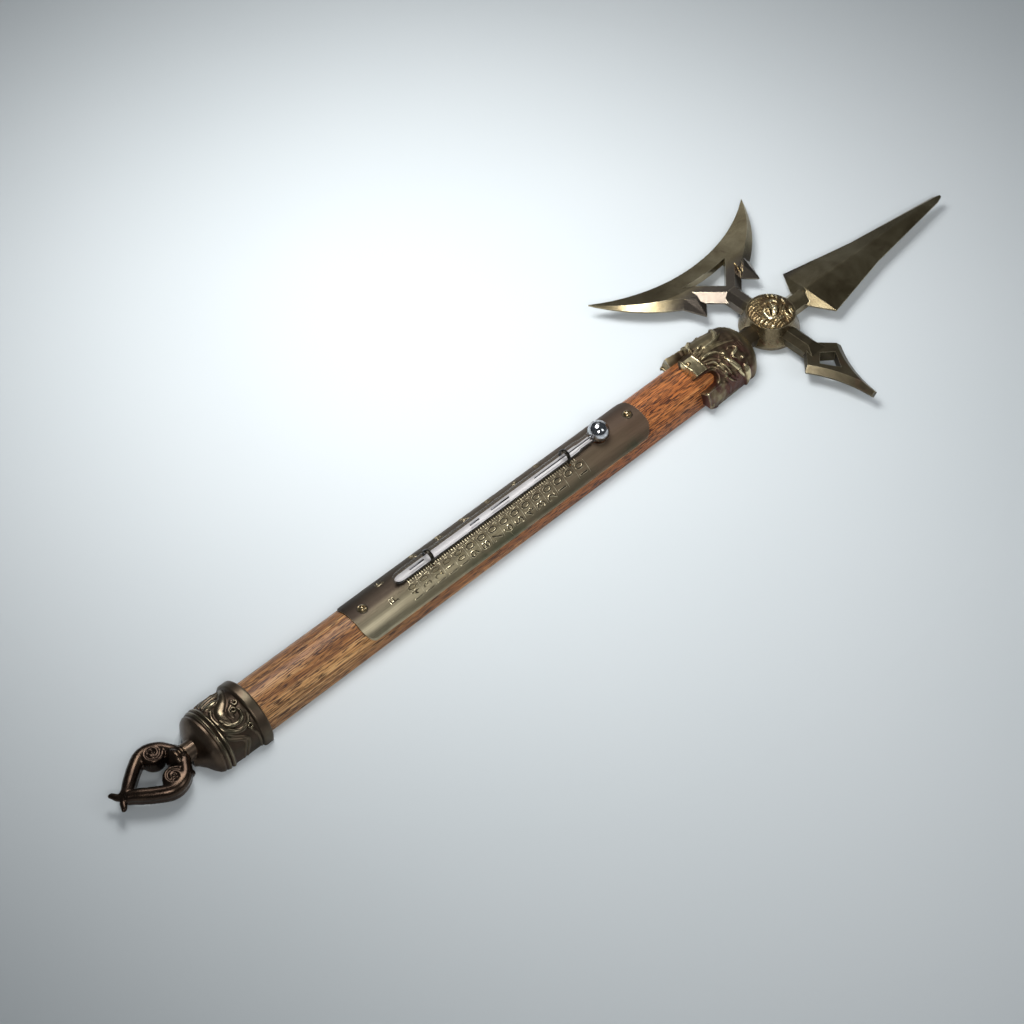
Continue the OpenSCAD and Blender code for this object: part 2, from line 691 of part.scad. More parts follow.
// One of the two bars that carry the crescent, flat inside and bevelled outside
module brace() {
  h = axe_t / 2;
  slope = h - edge_t / 2;
  translate([fork_x, 0, 0]) rotate([0, 0, brace_angle]) translate([-6, 0, 0])
    rotate([90, 0, 90]) linear_extrude((axe_edge_x - fork_x) / cos(brace_angle) - 7)
      polygon([[0.4 - brace_w, -h], [0.4, -h], [0.4 + slope, -edge_t / 2],
        [0.4 + slope, edge_t / 2], [0.4, h], [0.4 - brace_w, h]]);
}

// The hooked spur behind each horn
module spur() {
  hull() {
    linear_extrude(edge_t, center = true) polygon([[spur_x, 18.9], [spur_x + 0.6, 18.1],
      [29.4, 12.8], [38, 17], [37, 25]]);
    linear_extrude(axe_t - 0.6, center = true) polygon([[32.4, 17], [36, 19], [36.4, 21]]);
  }
}

module axe_blade() color([0.5, 0.46, 0.33]) translate([0, 0, axis_z]) {
  arm(fork_x + 2);
  intersection() {
    edge_field(axe_back);
    translate([axe_edge_x + axe_edge_r, 0, -10]) intersection() {
      cylinder(r = axe_edge_r + axe_web, h = 20, $fn = 360);
      translate([-axe_edge_r - axe_edge_x, -19, 0]) cube([axe_edge_x + 10, 38, 20]);
    }
  }
  intersection() {
    edge_field(axe_t / 2);
    union() {
      for (side = [0, 1]) mirror([0, side, 0]) {
        intersection() {
          brace();
          translate([fork_x - 6, 0, -10]) cube([60, 40, 20]);
        }
        horn();
      }
    }
  }
  for (side = [0, 1]) mirror([0, side, 0]) spur();
}

// Cuts away what lies beyond a straight edge from a to b, leaving a steep bevel on each face
module bevel_cut(a, b) {
  d = b - a;
  translate([a[0], a[1], 0]) rotate([0, 0, atan2(d[1], d[0])]) translate([-4, 0, 0])
    rotate([90, 0, 90]) linear_extrude(norm(d) + 8) polygon([[0, -edge_t / 2],
      [0, edge_t / 2], [-2.4, 6.4], [12, 6.4], [12, -6.4], [-2.4, -6.4]]);
}

// The beak has hollow sides, each an arc through a wing and the tip, and a kite window
module beak() color([0.46, 0.41, 0.3]) translate([0, 0, axis_z]) rotate([0, 0, 180]) {
  arm_y = arm_af / 2;
  neck_x = beak_wing_x - 8;
  r = beak_side_r - edge_t / 2;
  arm(neck_x);
  hull() {
    translate([neck_x - 0.1, 0, 0]) rotate([0, 90, 0]) rotate([0, 0, 22.5])
      cylinder(r = arm_r, h = 0.1, $fn = 8);
    translate([beak_wing_x - 3, 0, 0]) cube([0.1, 2 * arm_y, beak_t], center = true);
  }
  difference() {
    linear_extrude(beak_t, center = true) polygon([[neck_x - 1, arm_y], [neck_x, arm_y],
      [beak_wing_x, beak_wing], [beak_tip - 1, beak_wing], [beak_tip, 1], [beak_tip, -1],
      [beak_tip - 1, -beak_wing], [beak_wing_x, -beak_wing], [neck_x, -arm_y],
      [neck_x - 1, -arm_y]]);
    for (side = [0, 1]) mirror([0, side, 0]) {
      c = arc_centre([beak_wing_x, beak_wing], [beak_tip, 1.4], beak_side_r);
      translate([c[0], c[1], 0]) rotate_extrude($fn = 240) polygon([[0, -8], [r + 7.6, -8],
        [r, -edge_t / 2], [r, edge_t / 2], [r + 7.6, 8], [0, 8]]);
      bevel_cut([neck_x, arm_y], [beak_wing_x, beak_wing]);
    }
    linear_extrude(20, center = true) polygon([[beak_wing_x - 2, 0],
      [beak_wing_x + 2.6, -5.6], [beak_wing_x + 11.2, 0], [beak_wing_x + 2.6, 5.6]]);
  }
}

oak_shaft();
scale_plate();
plate_screw(screw_low_y);  // plate_screw_low
plate_screw(screw_high_y);  // plate_screw_high
glass_tube();
enamel_strip();
mercury_reservoir();
mercury_thread();
mercury_meniscus();
tube_clip(clip_low_y);  // tube_clip_low
tube_clip(clip_high_y);  // tube_clip_high
upper_ferrule();
ferrule_pin(0, front_pin_y, upper_r + relief_h);  // front_pin
union() {  // side_pins
  ferrule_pin(-side_pin_angle, side_pin_y, upper_r);
  ferrule_pin(side_pin_angle, side_pin_y, upper_r);
}
lower_ferrule();
ferrule_pin(0, lower_pin_y, lower_r);  // lower_pin
end_cap();
finial();
finial_stud();
head_tang();
hub();
medallion();
spear_point();
axe_blade();
beak();
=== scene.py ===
import math

import bmesh
import bpy
import numpy as np
from mathutils import Matrix, Vector


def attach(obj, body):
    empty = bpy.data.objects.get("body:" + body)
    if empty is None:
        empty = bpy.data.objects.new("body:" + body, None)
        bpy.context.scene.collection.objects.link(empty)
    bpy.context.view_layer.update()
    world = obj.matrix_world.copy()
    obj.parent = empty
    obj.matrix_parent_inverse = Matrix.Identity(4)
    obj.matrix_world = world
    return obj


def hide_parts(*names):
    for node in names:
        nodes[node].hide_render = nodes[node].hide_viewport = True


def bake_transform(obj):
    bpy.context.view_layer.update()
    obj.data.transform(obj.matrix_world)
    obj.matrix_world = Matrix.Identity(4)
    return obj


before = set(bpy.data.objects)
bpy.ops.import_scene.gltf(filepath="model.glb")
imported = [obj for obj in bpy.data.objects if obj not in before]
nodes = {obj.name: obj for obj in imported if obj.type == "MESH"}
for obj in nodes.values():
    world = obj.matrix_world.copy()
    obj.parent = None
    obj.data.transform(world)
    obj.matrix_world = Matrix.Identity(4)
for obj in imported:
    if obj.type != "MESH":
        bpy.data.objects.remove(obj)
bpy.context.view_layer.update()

# Sizes are in millimetres, and a place along the shaft is its distance from the hub's centre.
MM = 0.001
SHAFT_Z = 2.5          # height of the shaft's axis over the wall plane
AXIS_Z = 6.4           # height of the middle plane of the head and the finial
PLATE_R = 13.35        # outer radius of the scale plate
SCREW_LOW, SCREW_HIGH = 98.8, 260.0
MARK_LOW, MARK_HIGH = 135.5, 236.0     # ten below zero and 140 degrees Fahrenheit
TUBE_Z = 18.7          # height of the tube's axis
BULB_Y, BULB_R = 117.6, 5.15            # the bulb's middle and its radius
COLUMN_START = 123.7   # where the mercury column leaves the bulb
COLUMN_R = 0.26
TOP_LENGTH = 5.0       # the moving top of the column
CLIP_LOW, CLIP_HIGH = 139.1, 222.0
FERRULE_IN = 12.76     # radius of the bore of both ferrules
UPPER_START = 17.4     # the upper ferrule's closed end, at the head
UPPER_R = 16.3         # radius of its body, on which the carving is laid out
UPPER_DEGREE = 0.2845  # length of one degree round the upper ferrule
SHAFT_END = 30         # the shaft's end, inside the upper ferrule
ARM_R = 5.195          # corner radius of the eight-sided arm between hub and ferrule
LOWER_MOUTH = 323.4    # the lower ferrule's open end
LOWER_R = 15.4         # radius on which its scrolls are laid out
CAP_Y = 347.0          # where the lower ferrule meets the end cap
MEDAL_FLOOR = 12.25    # height of the medallion's seat in the hub
MEDAL_R = 11.3         # radius of the medallion
VOLUTE_X, VOLUTE_Y = 7.4, 367.7         # middle of each volute of the finial


# ---- materials

def plug(tree, socket, value):
    """Links a node's output to a socket, or sets its constant value."""
    if isinstance(value, bpy.types.NodeSocket):
        tree.links.new(value, socket)
    elif isinstance(value, tuple) and len(value) == 3 and socket.type == "RGBA":
        socket.default_value = (*value, 1.0)
    else:
        socket.default_value = value


def having(thing, **settings):
    """The same thing, once it has these settings."""
    for key, value in settings.items():
        setattr(thing, key, value)
    return thing


def node(tree, kind, inputs=None, **settings):
    """A new shader node with its inputs plugged and its settings made."""
    n = having(tree.nodes.new("ShaderNode" + kind), **settings)
    for key, value in (inputs or {}).items():
        plug(tree, n.inputs[key], value)
    return n


def coat(mat, **sockets):
    """Gives the shader's sockets a constant value or what a node puts out."""
    tree = mat.node_tree
    for key, value in sockets.items():
        plug(tree, tree.nodes["Principled BSDF"].inputs[key.replace("_", " ")], value)
    return mat


def finish(name, **sockets):
    """A new material, whose shader takes these constant values."""
    mat = bpy.data.materials.new(name)
    mat.use_nodes = True
    return coat(mat, **sockets), mat.node_tree


def place(tree, scale=(1, 1, 1)):
    """A point's place on the object, in metres; a small scale draws a pattern out."""
    coords = node(tree, "TexCoord").outputs["Object"]
    return node(tree, "Mapping", {"Vector": coords, "Scale": scale}).outputs["Vector"]


def axis(tree, letter):
    return node(tree, "SeparateXYZ", {"Vector": place(tree)}).outputs[letter]


def fade(tree, value, start, end, low=0.0, high=1.0):
    """Goes from low to high while value goes from start to end."""
    return node(tree, "MapRange", {"Value": value, "From Min": start, "From Max": end,
                                   "To Min": low, "To Max": high}).outputs["Result"]


def noise(tree, where, scale, detail=3.0, rough=0.55, distortion=0.0):
    return node(tree, "TexNoise", {"Vector": where, "Scale": scale, "Detail": detail,
                                   "Roughness": rough, "Distortion": distortion}).outputs["Fac"]


def ramp(tree, factor, *stops):
    n = node(tree, "ValToRGB", {"Fac": factor})
    while len(n.color_ramp.elements) < len(stops):
        n.color_ramp.elements.new(0.5)
    for element, (at, colour) in zip(n.color_ramp.elements, stops):
        element.position = at
        element.color = (*colour, 1.0) if isinstance(colour, tuple) else (colour,) * 3 + (1.0,)
    return n.outputs["Color"]


def mix(tree, factor, a, b):
    """Colour a where factor is 0, colour b where it is 1."""
    n = node(tree, "Mix", data_type="RGBA")
    plug(tree, n.inputs[0], factor)
    plug(tree, n.inputs[6], a)
    plug(tree, n.inputs[7], b)
    return n.outputs[2]


def maths(tree, way, a, b=0.0):
    n = node(tree, "Math", operation=way)
    plug(tree, n.inputs[0], a)
    plug(tree, n.inputs[1], b)
    return n.outputs[0]


def times(tree, a, b):
    return maths(tree, "MULTIPLY", a, b)


def clouded(tree, value, cloud, reach):
    """Value moved up and down by a cloudy noise."""
    return maths(tree, "ADD", value, times(tree, maths(tree, "SUBTRACT", cloud, 0.5), reach))


def bump(tree, height, strength, distance, under=None):
    inputs = {"Height": height, "Strength": strength, "Distance": distance}
    if under is not None:
        inputs["Normal"] = under
    return node(tree, "Bump", inputs).outputs["Normal"]


def worn_edges(tree, radius, low=0.02, high=0.2):
    """White along the outer edges of a solid, where hands have rubbed it."""
    wide = node(tree, "Bevel", {"Radius": radius}, samples=6).outputs["Normal"]
    plain = node(tree, "NewGeometry").outputs["Normal"]
    dot = node(tree, "VectorMath", {0: wide, 1: plain}, operation="DOT_PRODUCT").outputs["Value"]
    return ramp(tree, maths(tree, "SUBTRACT", 1.0, dot), (low, 0.0), (high, 1.0))


def crest(tree):
    """The height of the relief, which carve() and finial() keep in the mesh."""
    return node(tree, "Attribute", attribute_name="crest").outputs["Fac"]


def worn_crests(tree, low, high):
    """White on the crests of a cast or carved piece."""
    return ramp(tree, crest(tree), (low, 0.0), (high, 1.0))


def brass(name, dark, middle, bright, rubbed, roughness, stain=None, stain_from=0.6,
          streak=(1, 1, 1), grime=0.5, dull=0.55, painted_shade=None):
    """Old brass: patchy patina, stains, fine scratches and bright rubbed places.

    rubbed is a tone and the width of worn edges, or a tone and two heights of worn crests; the
    optional shade is a tone and a mask of painted shade.
    """
    mat, tree = finish(name, Metallic=0.92)
    where = place(tree)
    patches = noise(tree, where, 55.0, 4.0, 0.6, 0.4)
    fine = noise(tree, place(tree, streak), 900.0, 3.0, 0.6)
    colour = ramp(tree, patches, (0.3, dark), (0.52, middle), (0.72, bright))
    colour = mix(tree, ramp(tree, fine, (0.35, 0.0), (0.75, dull)), colour, dark)
    if stain:
        spots = noise(tree, where, 130.0, 5.0, 0.65, 0.8)
        colour = mix(
            tree, ramp(tree, spots, (stain_from, 0.0), (stain_from + 0.1, 0.85)), colour, stain)
    # painted shade: a darker tone laid over the given mask
    if painted_shade:
        tone, where_shaded = painted_shade
        colour = mix(tree, times(tree, where_shaded(tree), 0.85), colour, tone)
    light, *where_rubbed = rubbed
    mask = (worn_crests if len(where_rubbed) > 1 else worn_edges)(tree, *where_rubbed)
    colour = mix(tree, mask, colour, light)
    rough = ramp(tree, fine, (0.3, roughness - 0.07 * dull), (0.7, roughness + 0.2 * dull))
    rough = mix(tree, mask, rough, (roughness - 0.05,) * 3)
    pits = bump(tree, noise(tree, where, 2600.0, 2.0, 0.5), grime * 0.35, 0.00006)
    return coat(mat, Base_Color=colour, Roughness=rough,
                Normal=bump(tree, fine, grime * 0.5, 0.00012, pits))


def carved_brass(name, hollow, low, middle, high, roughness, stain, stained):
    """Cast brass in relief: black in the hollows, patchy between, rubbed bright on the crests."""
    mat, tree = finish(name, Metallic=0.9)
    where = place(tree)
    level = clouded(tree, crest(tree), noise(tree, where, 210.0, 3.0, 0.55, 0.5), 0.35)
    colour = ramp(tree, level, (0.03, hollow), (0.22, low), (0.55, middle), (0.92, high))
    patch = noise(tree, where, 95.0, 4.0, 0.6, 0.9)
    mask = times(tree, ramp(tree, patch, (0.36, 0.0), (0.54, 0.95)), stained(tree))
    rubbed = ramp(tree, level, (0.5, 1.0), (0.85, 0.2))
    colour = mix(tree, times(tree, mask, rubbed), colour, stain)
    rough = ramp(tree, level, (0.05, roughness + 0.2), (0.7, roughness - 0.04))
    fine = noise(tree, where, 1300.0, 3.0, 0.6)
    return coat(mat, Base_Color=colour, Roughness=rough, Normal=bump(tree, fine, 0.1, 0.0001))


def everywhere(tree):
    """A thin, even stain."""
    return 0.35


def towards_beak(tree):
    """Strong on the beak's side of the ferrule, faint on the axe's, none on its shoulder."""
    side = fade(tree, axis(tree, "X"), -0.001, -0.011, 0.15, 1.1)
    return times(tree, side, fade(tree, axis(tree, "Y"), 0.025, 0.03))


def on_axe_arms(tree):
    """One on the two arms of the axe, which get painted shade, darker than the blade."""
    x = axis(tree, "X")
    return times(tree, fade(tree, x, 0.012, 0.016), fade(tree, x, 0.041, 0.035))


# The axe's arms take painted shade, darker than the blade.
BLADE = brass(
    "blade_brass", (0.15, 0.115, 0.062), (0.27, 0.22, 0.13), (0.4, 0.34, 0.22),
    ((0.72, 0.65, 0.48), 0.0004), 0.22, stain=(0.14, 0.085, 0.055), stain_from=0.6,
    streak=(1, 0.3, 1), grime=0.05, dull=0.2, painted_shade=((0.115, 0.096, 0.086), on_axe_arms))
CAST = brass(
    "cast_brass", (0.12, 0.09, 0.05), (0.22, 0.17, 0.1), (0.33, 0.27, 0.165),
    ((0.6, 0.5, 0.32), 0.0005), 0.27, stain=(0.15, 0.08, 0.045), stain_from=0.57, grime=0.1,
    dull=0.25)
GILT = carved_brass(
    "gilt_brass", (0.06, 0.04, 0.018), (0.17, 0.125, 0.06), (0.35, 0.27, 0.14), (0.8, 0.67, 0.42),
    0.26, (0.16, 0.085, 0.045), everywhere)
LEAF = carved_brass(
    "leaf_brass", (0.06, 0.045, 0.026), (0.17, 0.134, 0.077), (0.32, 0.26, 0.145),
    (0.72, 0.61, 0.37), 0.28, (0.1, 0.045, 0.034), towards_beak)
BRONZE = carved_brass(
    "dark_bronze", (0.055, 0.044, 0.03), (0.1, 0.082, 0.055), (0.13, 0.107, 0.07),
    (0.25, 0.21, 0.135), 0.24, (0.11, 0.06, 0.042), everywhere)
CAP_BRONZE = brass(
    "cap_bronze", (0.07, 0.047, 0.032), (0.14, 0.1, 0.07), (0.2, 0.155, 0.11),
    ((0.3, 0.2, 0.12), 0.0004), 0.3, stain=(0.07, 0.045, 0.03), stain_from=0.58, grime=0.1,
    dull=0.3)
FINIAL_BRONZE = brass(
    "finial_bronze", (0.028, 0.018, 0.013), (0.058, 0.037, 0.026), (0.095, 0.062, 0.04),
    ((0.105, 0.068, 0.036), 0.85, 1.05), 0.24, stain=(0.05, 0.036, 0.024), stain_from=0.58,
    grime=0.07, dull=0.25)
# The beak's brass is a darker, rougher copy of the blade's: painted shade.
SHADED_BEAK = brass(
    "beak_brass_painted_shade", (0.05, 0.04, 0.024), (0.092, 0.075, 0.046), (0.135, 0.112, 0.07),
    ((0.55, 0.48, 0.33), 0.00045), 0.38, stain=(0.11, 0.07, 0.045), stain_from=0.58, grime=0.08,
    dull=0.3)
SCREW = brass(
    "screw_brass", (0.16, 0.115, 0.06), (0.33, 0.25, 0.14), (0.5, 0.41, 0.25),
    ((0.8, 0.7, 0.48), 0.0003), 0.25)
STEEL = brass(
    "steel_rod", (0.14, 0.14, 0.14), (0.25, 0.25, 0.25), (0.4, 0.4, 0.4),
    ((0.6, 0.6, 0.6), 0.0003), 0.35)
WIRE = brass(
    "dark_wire", (0.012, 0.011, 0.009), (0.03, 0.026, 0.02), (0.07, 0.06, 0.045),
    ((0.2, 0.17, 0.12), 0.0002), 0.3)


def plate_brass():
    """Dull brown at the bulb, olive in the middle, brighter satin towards the finial; painted
    shade darkens the top and the axe's side, most of all towards the finial.
    """
    mat, tree = finish("plate_brass", Metallic=0.9)
    where, x = place(tree), axis(tree, "X")
    cloud = noise(tree, where, 35.0, 4.0, 0.6, 0.5)
    along = clouded(tree, fade(tree, axis(tree, "Y"), 0.093, 0.267), cloud, 0.45)
    colour = ramp(
        tree, along, (0.02, (0.16, 0.105, 0.07)), (0.3, (0.18, 0.14, 0.09)),
        (0.6, (0.26, 0.22, 0.135)), (0.95, (0.42, 0.36, 0.24)))
    brushed = noise(tree, place(tree, (1, 0.04, 1)), 1500.0, 2.0, 0.6)
    colour = mix(tree, ramp(tree, brushed, (0.4, 0.0), (0.75, 0.35)), colour, (0.09, 0.065, 0.042))
    spots = noise(tree, where, 300.0, 4.0, 0.6)
    colour = mix(tree, ramp(tree, spots, (0.66, 0.0), (0.74, 0.5)), colour, (0.04, 0.028, 0.018))
    # painted shade: the top and the axe's side are darkened, darker still towards the finial; they
    # are also rougher
    axe_side_painted_shade = fade(tree, x, -0.0066, -0.001)
    colour = mix(tree, times(tree, axe_side_painted_shade, 0.8), colour, (0.075, 0.053, 0.04))
    finial_end_painted_shade = times(tree, axe_side_painted_shade, ramp(tree, along, (0.45, 0.0), (0.95, 0.9)))
    colour = mix(tree, finial_end_painted_shade, colour, (0.032, 0.022, 0.017))
    green = times(
        tree, fade(tree, x, -0.0085, -0.0125), ramp(tree, cloud, (0.45, 0.0), (0.6, 1.0)))
    colour = mix(tree, times(tree, green, 0.7), colour, (0.035, 0.06, 0.035))
    edges = worn_edges(tree, 0.00025, 0.05, 0.4)
    colour = mix(tree, edges, colour, (0.5, 0.43, 0.28))
    satin = ramp(tree, along, (0.1, 0.5), (0.9, 0.36))
    dents = bump(tree, noise(tree, where, 120.0, 2.0, 0.5), 0.12, 0.0004)
    return coat(mat, Base_Color=colour, Roughness=mix(tree, axe_side_painted_shade, satin, (0.58,) * 3),
                Normal=bump(tree, brushed, 0.12, 0.0001, dents))


def oak():
    """Open-pored oak: warm bands, long streaks and short dark pores along the shaft."""
    mat, tree = finish("oak", Coat_Weight=0.04, Coat_Roughness=0.35, Specular_IOR_Level=0.35)
    along = fade(tree, axis(tree, "Y"), 0.05, 0.33)
    bands = noise(tree, place(tree, (1, 0.035, 1)), 330.0, 3.0, 0.6, 0.6)
    streaks = noise(tree, place(tree, (1, 0.014, 1)), 1700.0, 3.0, 0.7, 0.3)
    clouds = noise(tree, place(tree, (1, 0.3, 1)), 45.0, 3.0, 0.55)
    warm = ramp(tree, bands, (0.3, (0.34, 0.1, 0.024)), (0.55, (0.5, 0.17, 0.042)),
                (0.75, (0.7, 0.3, 0.095)))
    pale = ramp(tree, bands, (0.32, (0.19, 0.073, 0.02)), (0.5, (0.45, 0.205, 0.062)),
                (0.66, (0.8, 0.475, 0.2)))
    colour = mix(tree, ramp(tree, along, (0.3, 0.0), (0.75, 1.0)), warm, pale)
    dark_lines = ramp(tree, streaks, (0.4, 1.0), (0.56, 0.0))
    colour = mix(tree, times(tree, dark_lines, ramp(tree, along, (0.3, 0.5), (0.8, 0.85))),
                 colour, (0.13, 0.05, 0.018))
    colour = mix(tree, ramp(tree, clouds, (0.35, 0.4), (0.6, 0.0)), colour, (0.2, 0.07, 0.025))
    pores = noise(tree, place(tree, (1, 0.06, 1)), 3100.0, 1.5, 0.5, 0.3)
    lanes = noise(tree, place(tree, (1, 0.06, 1)), 420.0, 2.0, 0.5)
    many = maths(tree, "ADD", ramp(tree, along, (0.1, 0.0), (0.8, 0.03)),
                 ramp(tree, lanes, (0.4, 0.05), (0.6, 0.0)))
    pore_mask = ramp(tree, maths(tree, "SUBTRACT", pores, many), (0.478, 0.0), (0.52, 1.0))
    colour = mix(tree, times(tree, pore_mask, 0.93), colour, (0.035, 0.011, 0.006))
    return coat(mat, Base_Color=colour,
                Roughness=ramp(tree, streaks, (0.3, 0.55), (0.7, 0.38)),
                Normal=bump(tree, maths(tree, "SUBTRACT", 1.0, pore_mask), 0.5, 0.00015,
                            bump(tree, streaks, 0.25, 0.0002)))


def glass():
    return finish("tube_glass", Base_Color=(0.97, 0.98, 0.98), Roughness=0.03, IOR=1.45,
                  Transmission_Weight=1.0)[0]


def stem_glass():
    """Glass that shows what lies in it straight through: dark at the sides, a painted shade in
    place of refraction, and glossy outside.
    """
    mat, tree = finish(
        "stem_glass", Base_Color=(0.2, 0.2, 0.195), Roughness=0.12, IOR=1.45,
        Specular_IOR_Level=0.35)
    edge = node(tree, "LayerWeight", {"Blend": 0.5}).outputs["Facing"]
    return coat(mat, Alpha=ramp(tree, edge, (0.3, 0.05), (0.6, 0.16), (0.88, 0.5)))


def speckled(name, scale, low, high, **sockets):
    """A finish of two tones that run into each other."""
    mat, tree = finish(name, **sockets)
    return coat(mat, Base_Color=ramp(tree, noise(tree, place(tree), scale, 3.0), low, high))


def mercury(name, low, high):
    mat, tree = finish(name, Metallic=1.0)
    skin = noise(tree, place(tree), 700.0, 2.0)
    return coat(mat, Base_Color=ramp(tree, skin, (0.3, low), (0.7, high)),
                Roughness=ramp(tree, skin, (0.3, 0.03), (0.8, 0.09)))


def paper():
    mat, tree = finish("studio_floor", Roughness=0.85)
    wash = noise(tree, place(tree), 3.0, 3.0, 0.5)
    return coat(mat, Base_Color=ramp(tree, wash, (0.35, (0.6, 0.645, 0.67)),
                                     (0.65, (0.625, 0.665, 0.69))))


def struck_edge():
    """The burr round a struck figure: brighter than the plate, but darkened on the axe's side by
    painted shade, as the plate is.
    """
    mat, tree = finish("struck_edge", Metallic=0.95, Roughness=0.34)
    along = fade(tree, axis(tree, "Y"), 0.12, 0.25)
    colour = ramp(tree, along, (0.0, (0.4, 0.34, 0.23)), (1.0, (0.85, 0.75, 0.5)))
    patches = noise(tree, place(tree), 400.0, 3.0)
    colour = mix(tree, ramp(tree, patches, (0.45, 0.0), (0.65, 0.6)), colour, (0.2, 0.16, 0.1))
    # painted shade on the axe's side
    dull = fade(tree, axis(tree, "X"), 0.0, 0.004, 0.0, 0.8)
    return coat(mat, Base_Color=mix(tree, dull, colour, (0.09, 0.07, 0.045)))


PLATE, OAK, EDGE, FLOOR = plate_brass(), oak(), struck_edge(), paper()
GLASS, STEM = glass(), stem_glass()
OPAL = speckled(
    "opal_white", 60.0, (0.3, (0.5, 0.48, 0.48)), (0.7, (0.58, 0.565, 0.57)), Roughness=0.4)
# Dark fill of the struck figures and lines, and the painted shadow ring round each screw.
DARK_FILL_AND_SHADOW = speckled(
    "dark_fill_and_painted_shadow", 900.0, (0.35, (0.022, 0.016, 0.01)), (0.7, (0.06, 0.045, 0.028)), Metallic=0.6,
    Roughness=0.6)
QUICKSILVER = mercury("mercury", (0.4, 0.4, 0.42), (0.6, 0.6, 0.62))
# The column's mercury is a near-black copy of the bulb's: painted shade.
SHADED_MERCURY = mercury("mercury_column", (0.05, 0.05, 0.055), (0.12, 0.12, 0.13))


# ---- mesh helpers

def put(name, data):
    """Adds an object to the scene."""
    thing = bpy.data.objects.new(name, data)
    bpy.context.scene.collection.objects.link(thing)
    return thing


def to_mesh(name, bm):
    """A mesh of what is in a bmesh, which it frees."""
    mesh = bpy.data.meshes.new(name)
    bm.to_mesh(mesh)
    bm.free()
    return mesh


def keep(name, bm, materials, body="body", replaces=(), smooth=40.0, merge=True):
    """Turns a bmesh in millimetres into a finished piece."""
    if merge:
        bmesh.ops.remove_doubles(bm, verts=bm.verts, dist=0.002)
    bmesh.ops.recalc_face_normals(bm, faces=bm.faces)
    bmesh.ops.scale(bm, vec=(MM, MM, MM), verts=bm.verts)
    for edge in bm.edges:
        edge.smooth = not edge.is_manifold or edge.calc_face_angle(0.0) < math.radians(smooth)
    for face in bm.faces:
        face.smooth = True
    mesh = to_mesh(name, bm)
    for material in materials if isinstance(materials, list) else [materials]:
        mesh.materials.append(material)
    piece = put(name, mesh)
    if body:
        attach(piece, body)
    if replaces:
        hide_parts(*replaces)
    return piece


def softened(source, name, material, width, angle):
    """A copy of a solid whose edges sharper than angle are rounded, as casting leaves them."""
    bm = bmesh.new()
    bm.from_mesh(nodes[source].data)
    bmesh.ops.scale(bm, vec=(1000, 1000, 1000), verts=bm.verts)
    bmesh.ops.remove_doubles(bm, verts=bm.verts, dist=0.003)
    bmesh.ops.dissolve_limit(
        bm, angle_limit=math.radians(1.2), verts=bm.verts, edges=bm.edges, delimit={"NORMAL"})
    piece = keep(name, bm, material, replaces=[source], smooth=angle, merge=False)
    having(
        piece.modifiers.new("rounding", "BEVEL"), width=width * MM, segments=2,
        limit_method="ANGLE", angle_limit=math.radians(angle), harden_normals=True,
        use_clamp_overlap=True)


def unit(value):
    """Value kept between 0 and 1."""
    return np.clip(value, 0, 1)


def curve_through(points, steps=10):
    """A smooth path through the points, as an array."""
    p = np.array([points[0], *points, points[-1]], float)
    out = []
    for i in range(len(points) - 1):
        a, b, c, d = p[i:i + 4]
        for t in np.linspace(0, 1, steps, endpoint=False):
            out.append(0.5 * (2 * b + (c - a) * t + (2 * a - 5 * b + 4 * c - d) * t * t
                              + (3 * b - a - 3 * c + d) * t ** 3))
    return np.array(out + [p[-2]])


def rib(field, x, y, points, width, height, ends=(0.35, 0.35), sharp=0.6):
    """Raises field by a rounded rib along a path; its width narrows at the two ends."""
    path = curve_through(points)
    best = np.full(x.shape, 9.0)
    swell = np.zeros(x.shape)
    count = len(path) - 1
    for i in range(count):
        a, d = path[i], path[i + 1] - path[i]
        t = unit(((x - a[0]) * d[0] + (y - a[1]) * d[1]) / max(d @ d, 1e-9))
        along = (i + t) / count
        size = np.interp(along, (0, 0.3, 0.6, 1), (ends[0], 1, 1, ends[1]))
        near = np.hypot(x - a[0] - t * d[0], y - a[1] - t * d[1]) / (width * size)
        closer = near < best
        best = np.where(closer, near, best)
        swell = np.where(closer, size ** 0.5, swell)
    shape = unit(1 - best ** 2) ** sharp
    return np.maximum(field, height * swell * shape)


def knob(field, x, y, at, size, height):
    """Raises field by a rounded boss."""
    size = size if isinstance(size, tuple) else (size, size)
    near = ((x - at[0]) / size[0]) ** 2 + ((y - at[1]) / size[1]) ** 2
    return np.maximum(field, height * unit(1 - near) ** 0.5)


def groove(field, x, y, points, width, depth):
    """Lowers field by a groove along a path."""
    cut = rib(np.zeros(x.shape), x, y, points, width, depth, (0.6, 0.6), 1.0)
    return field - cut


def carve(columns, rows, shape):
    """A grid of that many faces, placed by shape(u, v) with u in -1..1 and v in 0..1."""
    bm = bmesh.new()
    bmesh.ops.create_grid(bm, x_segments=columns, y_segments=rows, size=1.0)
    flat = np.array([v.co[:2] for v in bm.verts])
    points, crest = shape(
        flat[:, 0] / np.abs(flat[:, 0]).max(), (flat[:, 1] / np.abs(flat[:, 1]).max() + 1) / 2)
    layer = bm.verts.layers.float.new("crest")
    for v, p, c in zip(bm.verts, points, crest):
        v.co = p
        v[layer] = c
    return bm


def wrap(radius, degrees, y):
    """Points at a radius round the shaft's axis."""
    a = np.radians(degrees)
    return np.stack([radius * np.sin(a), y, SHAFT_Z + radius * np.cos(a)], axis=-1)


def circle(bm, around, shape):
    """A ring of edges, its points placed by shape(number of the point, its place)."""
    ring = bmesh.ops.create_circle(bm, segments=around, radius=1.0)["verts"]
    for k, v in enumerate(ring):
        v.co = shape(k, v.co)
    return list(dict.fromkeys(e for v in ring for e in v.link_edges))


def bridge(bm, rings):
    """Walls from each ring of edges to the next."""
    for a, b in zip(rings, rings[1:]):
        bmesh.ops.bridge_loops(bm, edges=a + b)


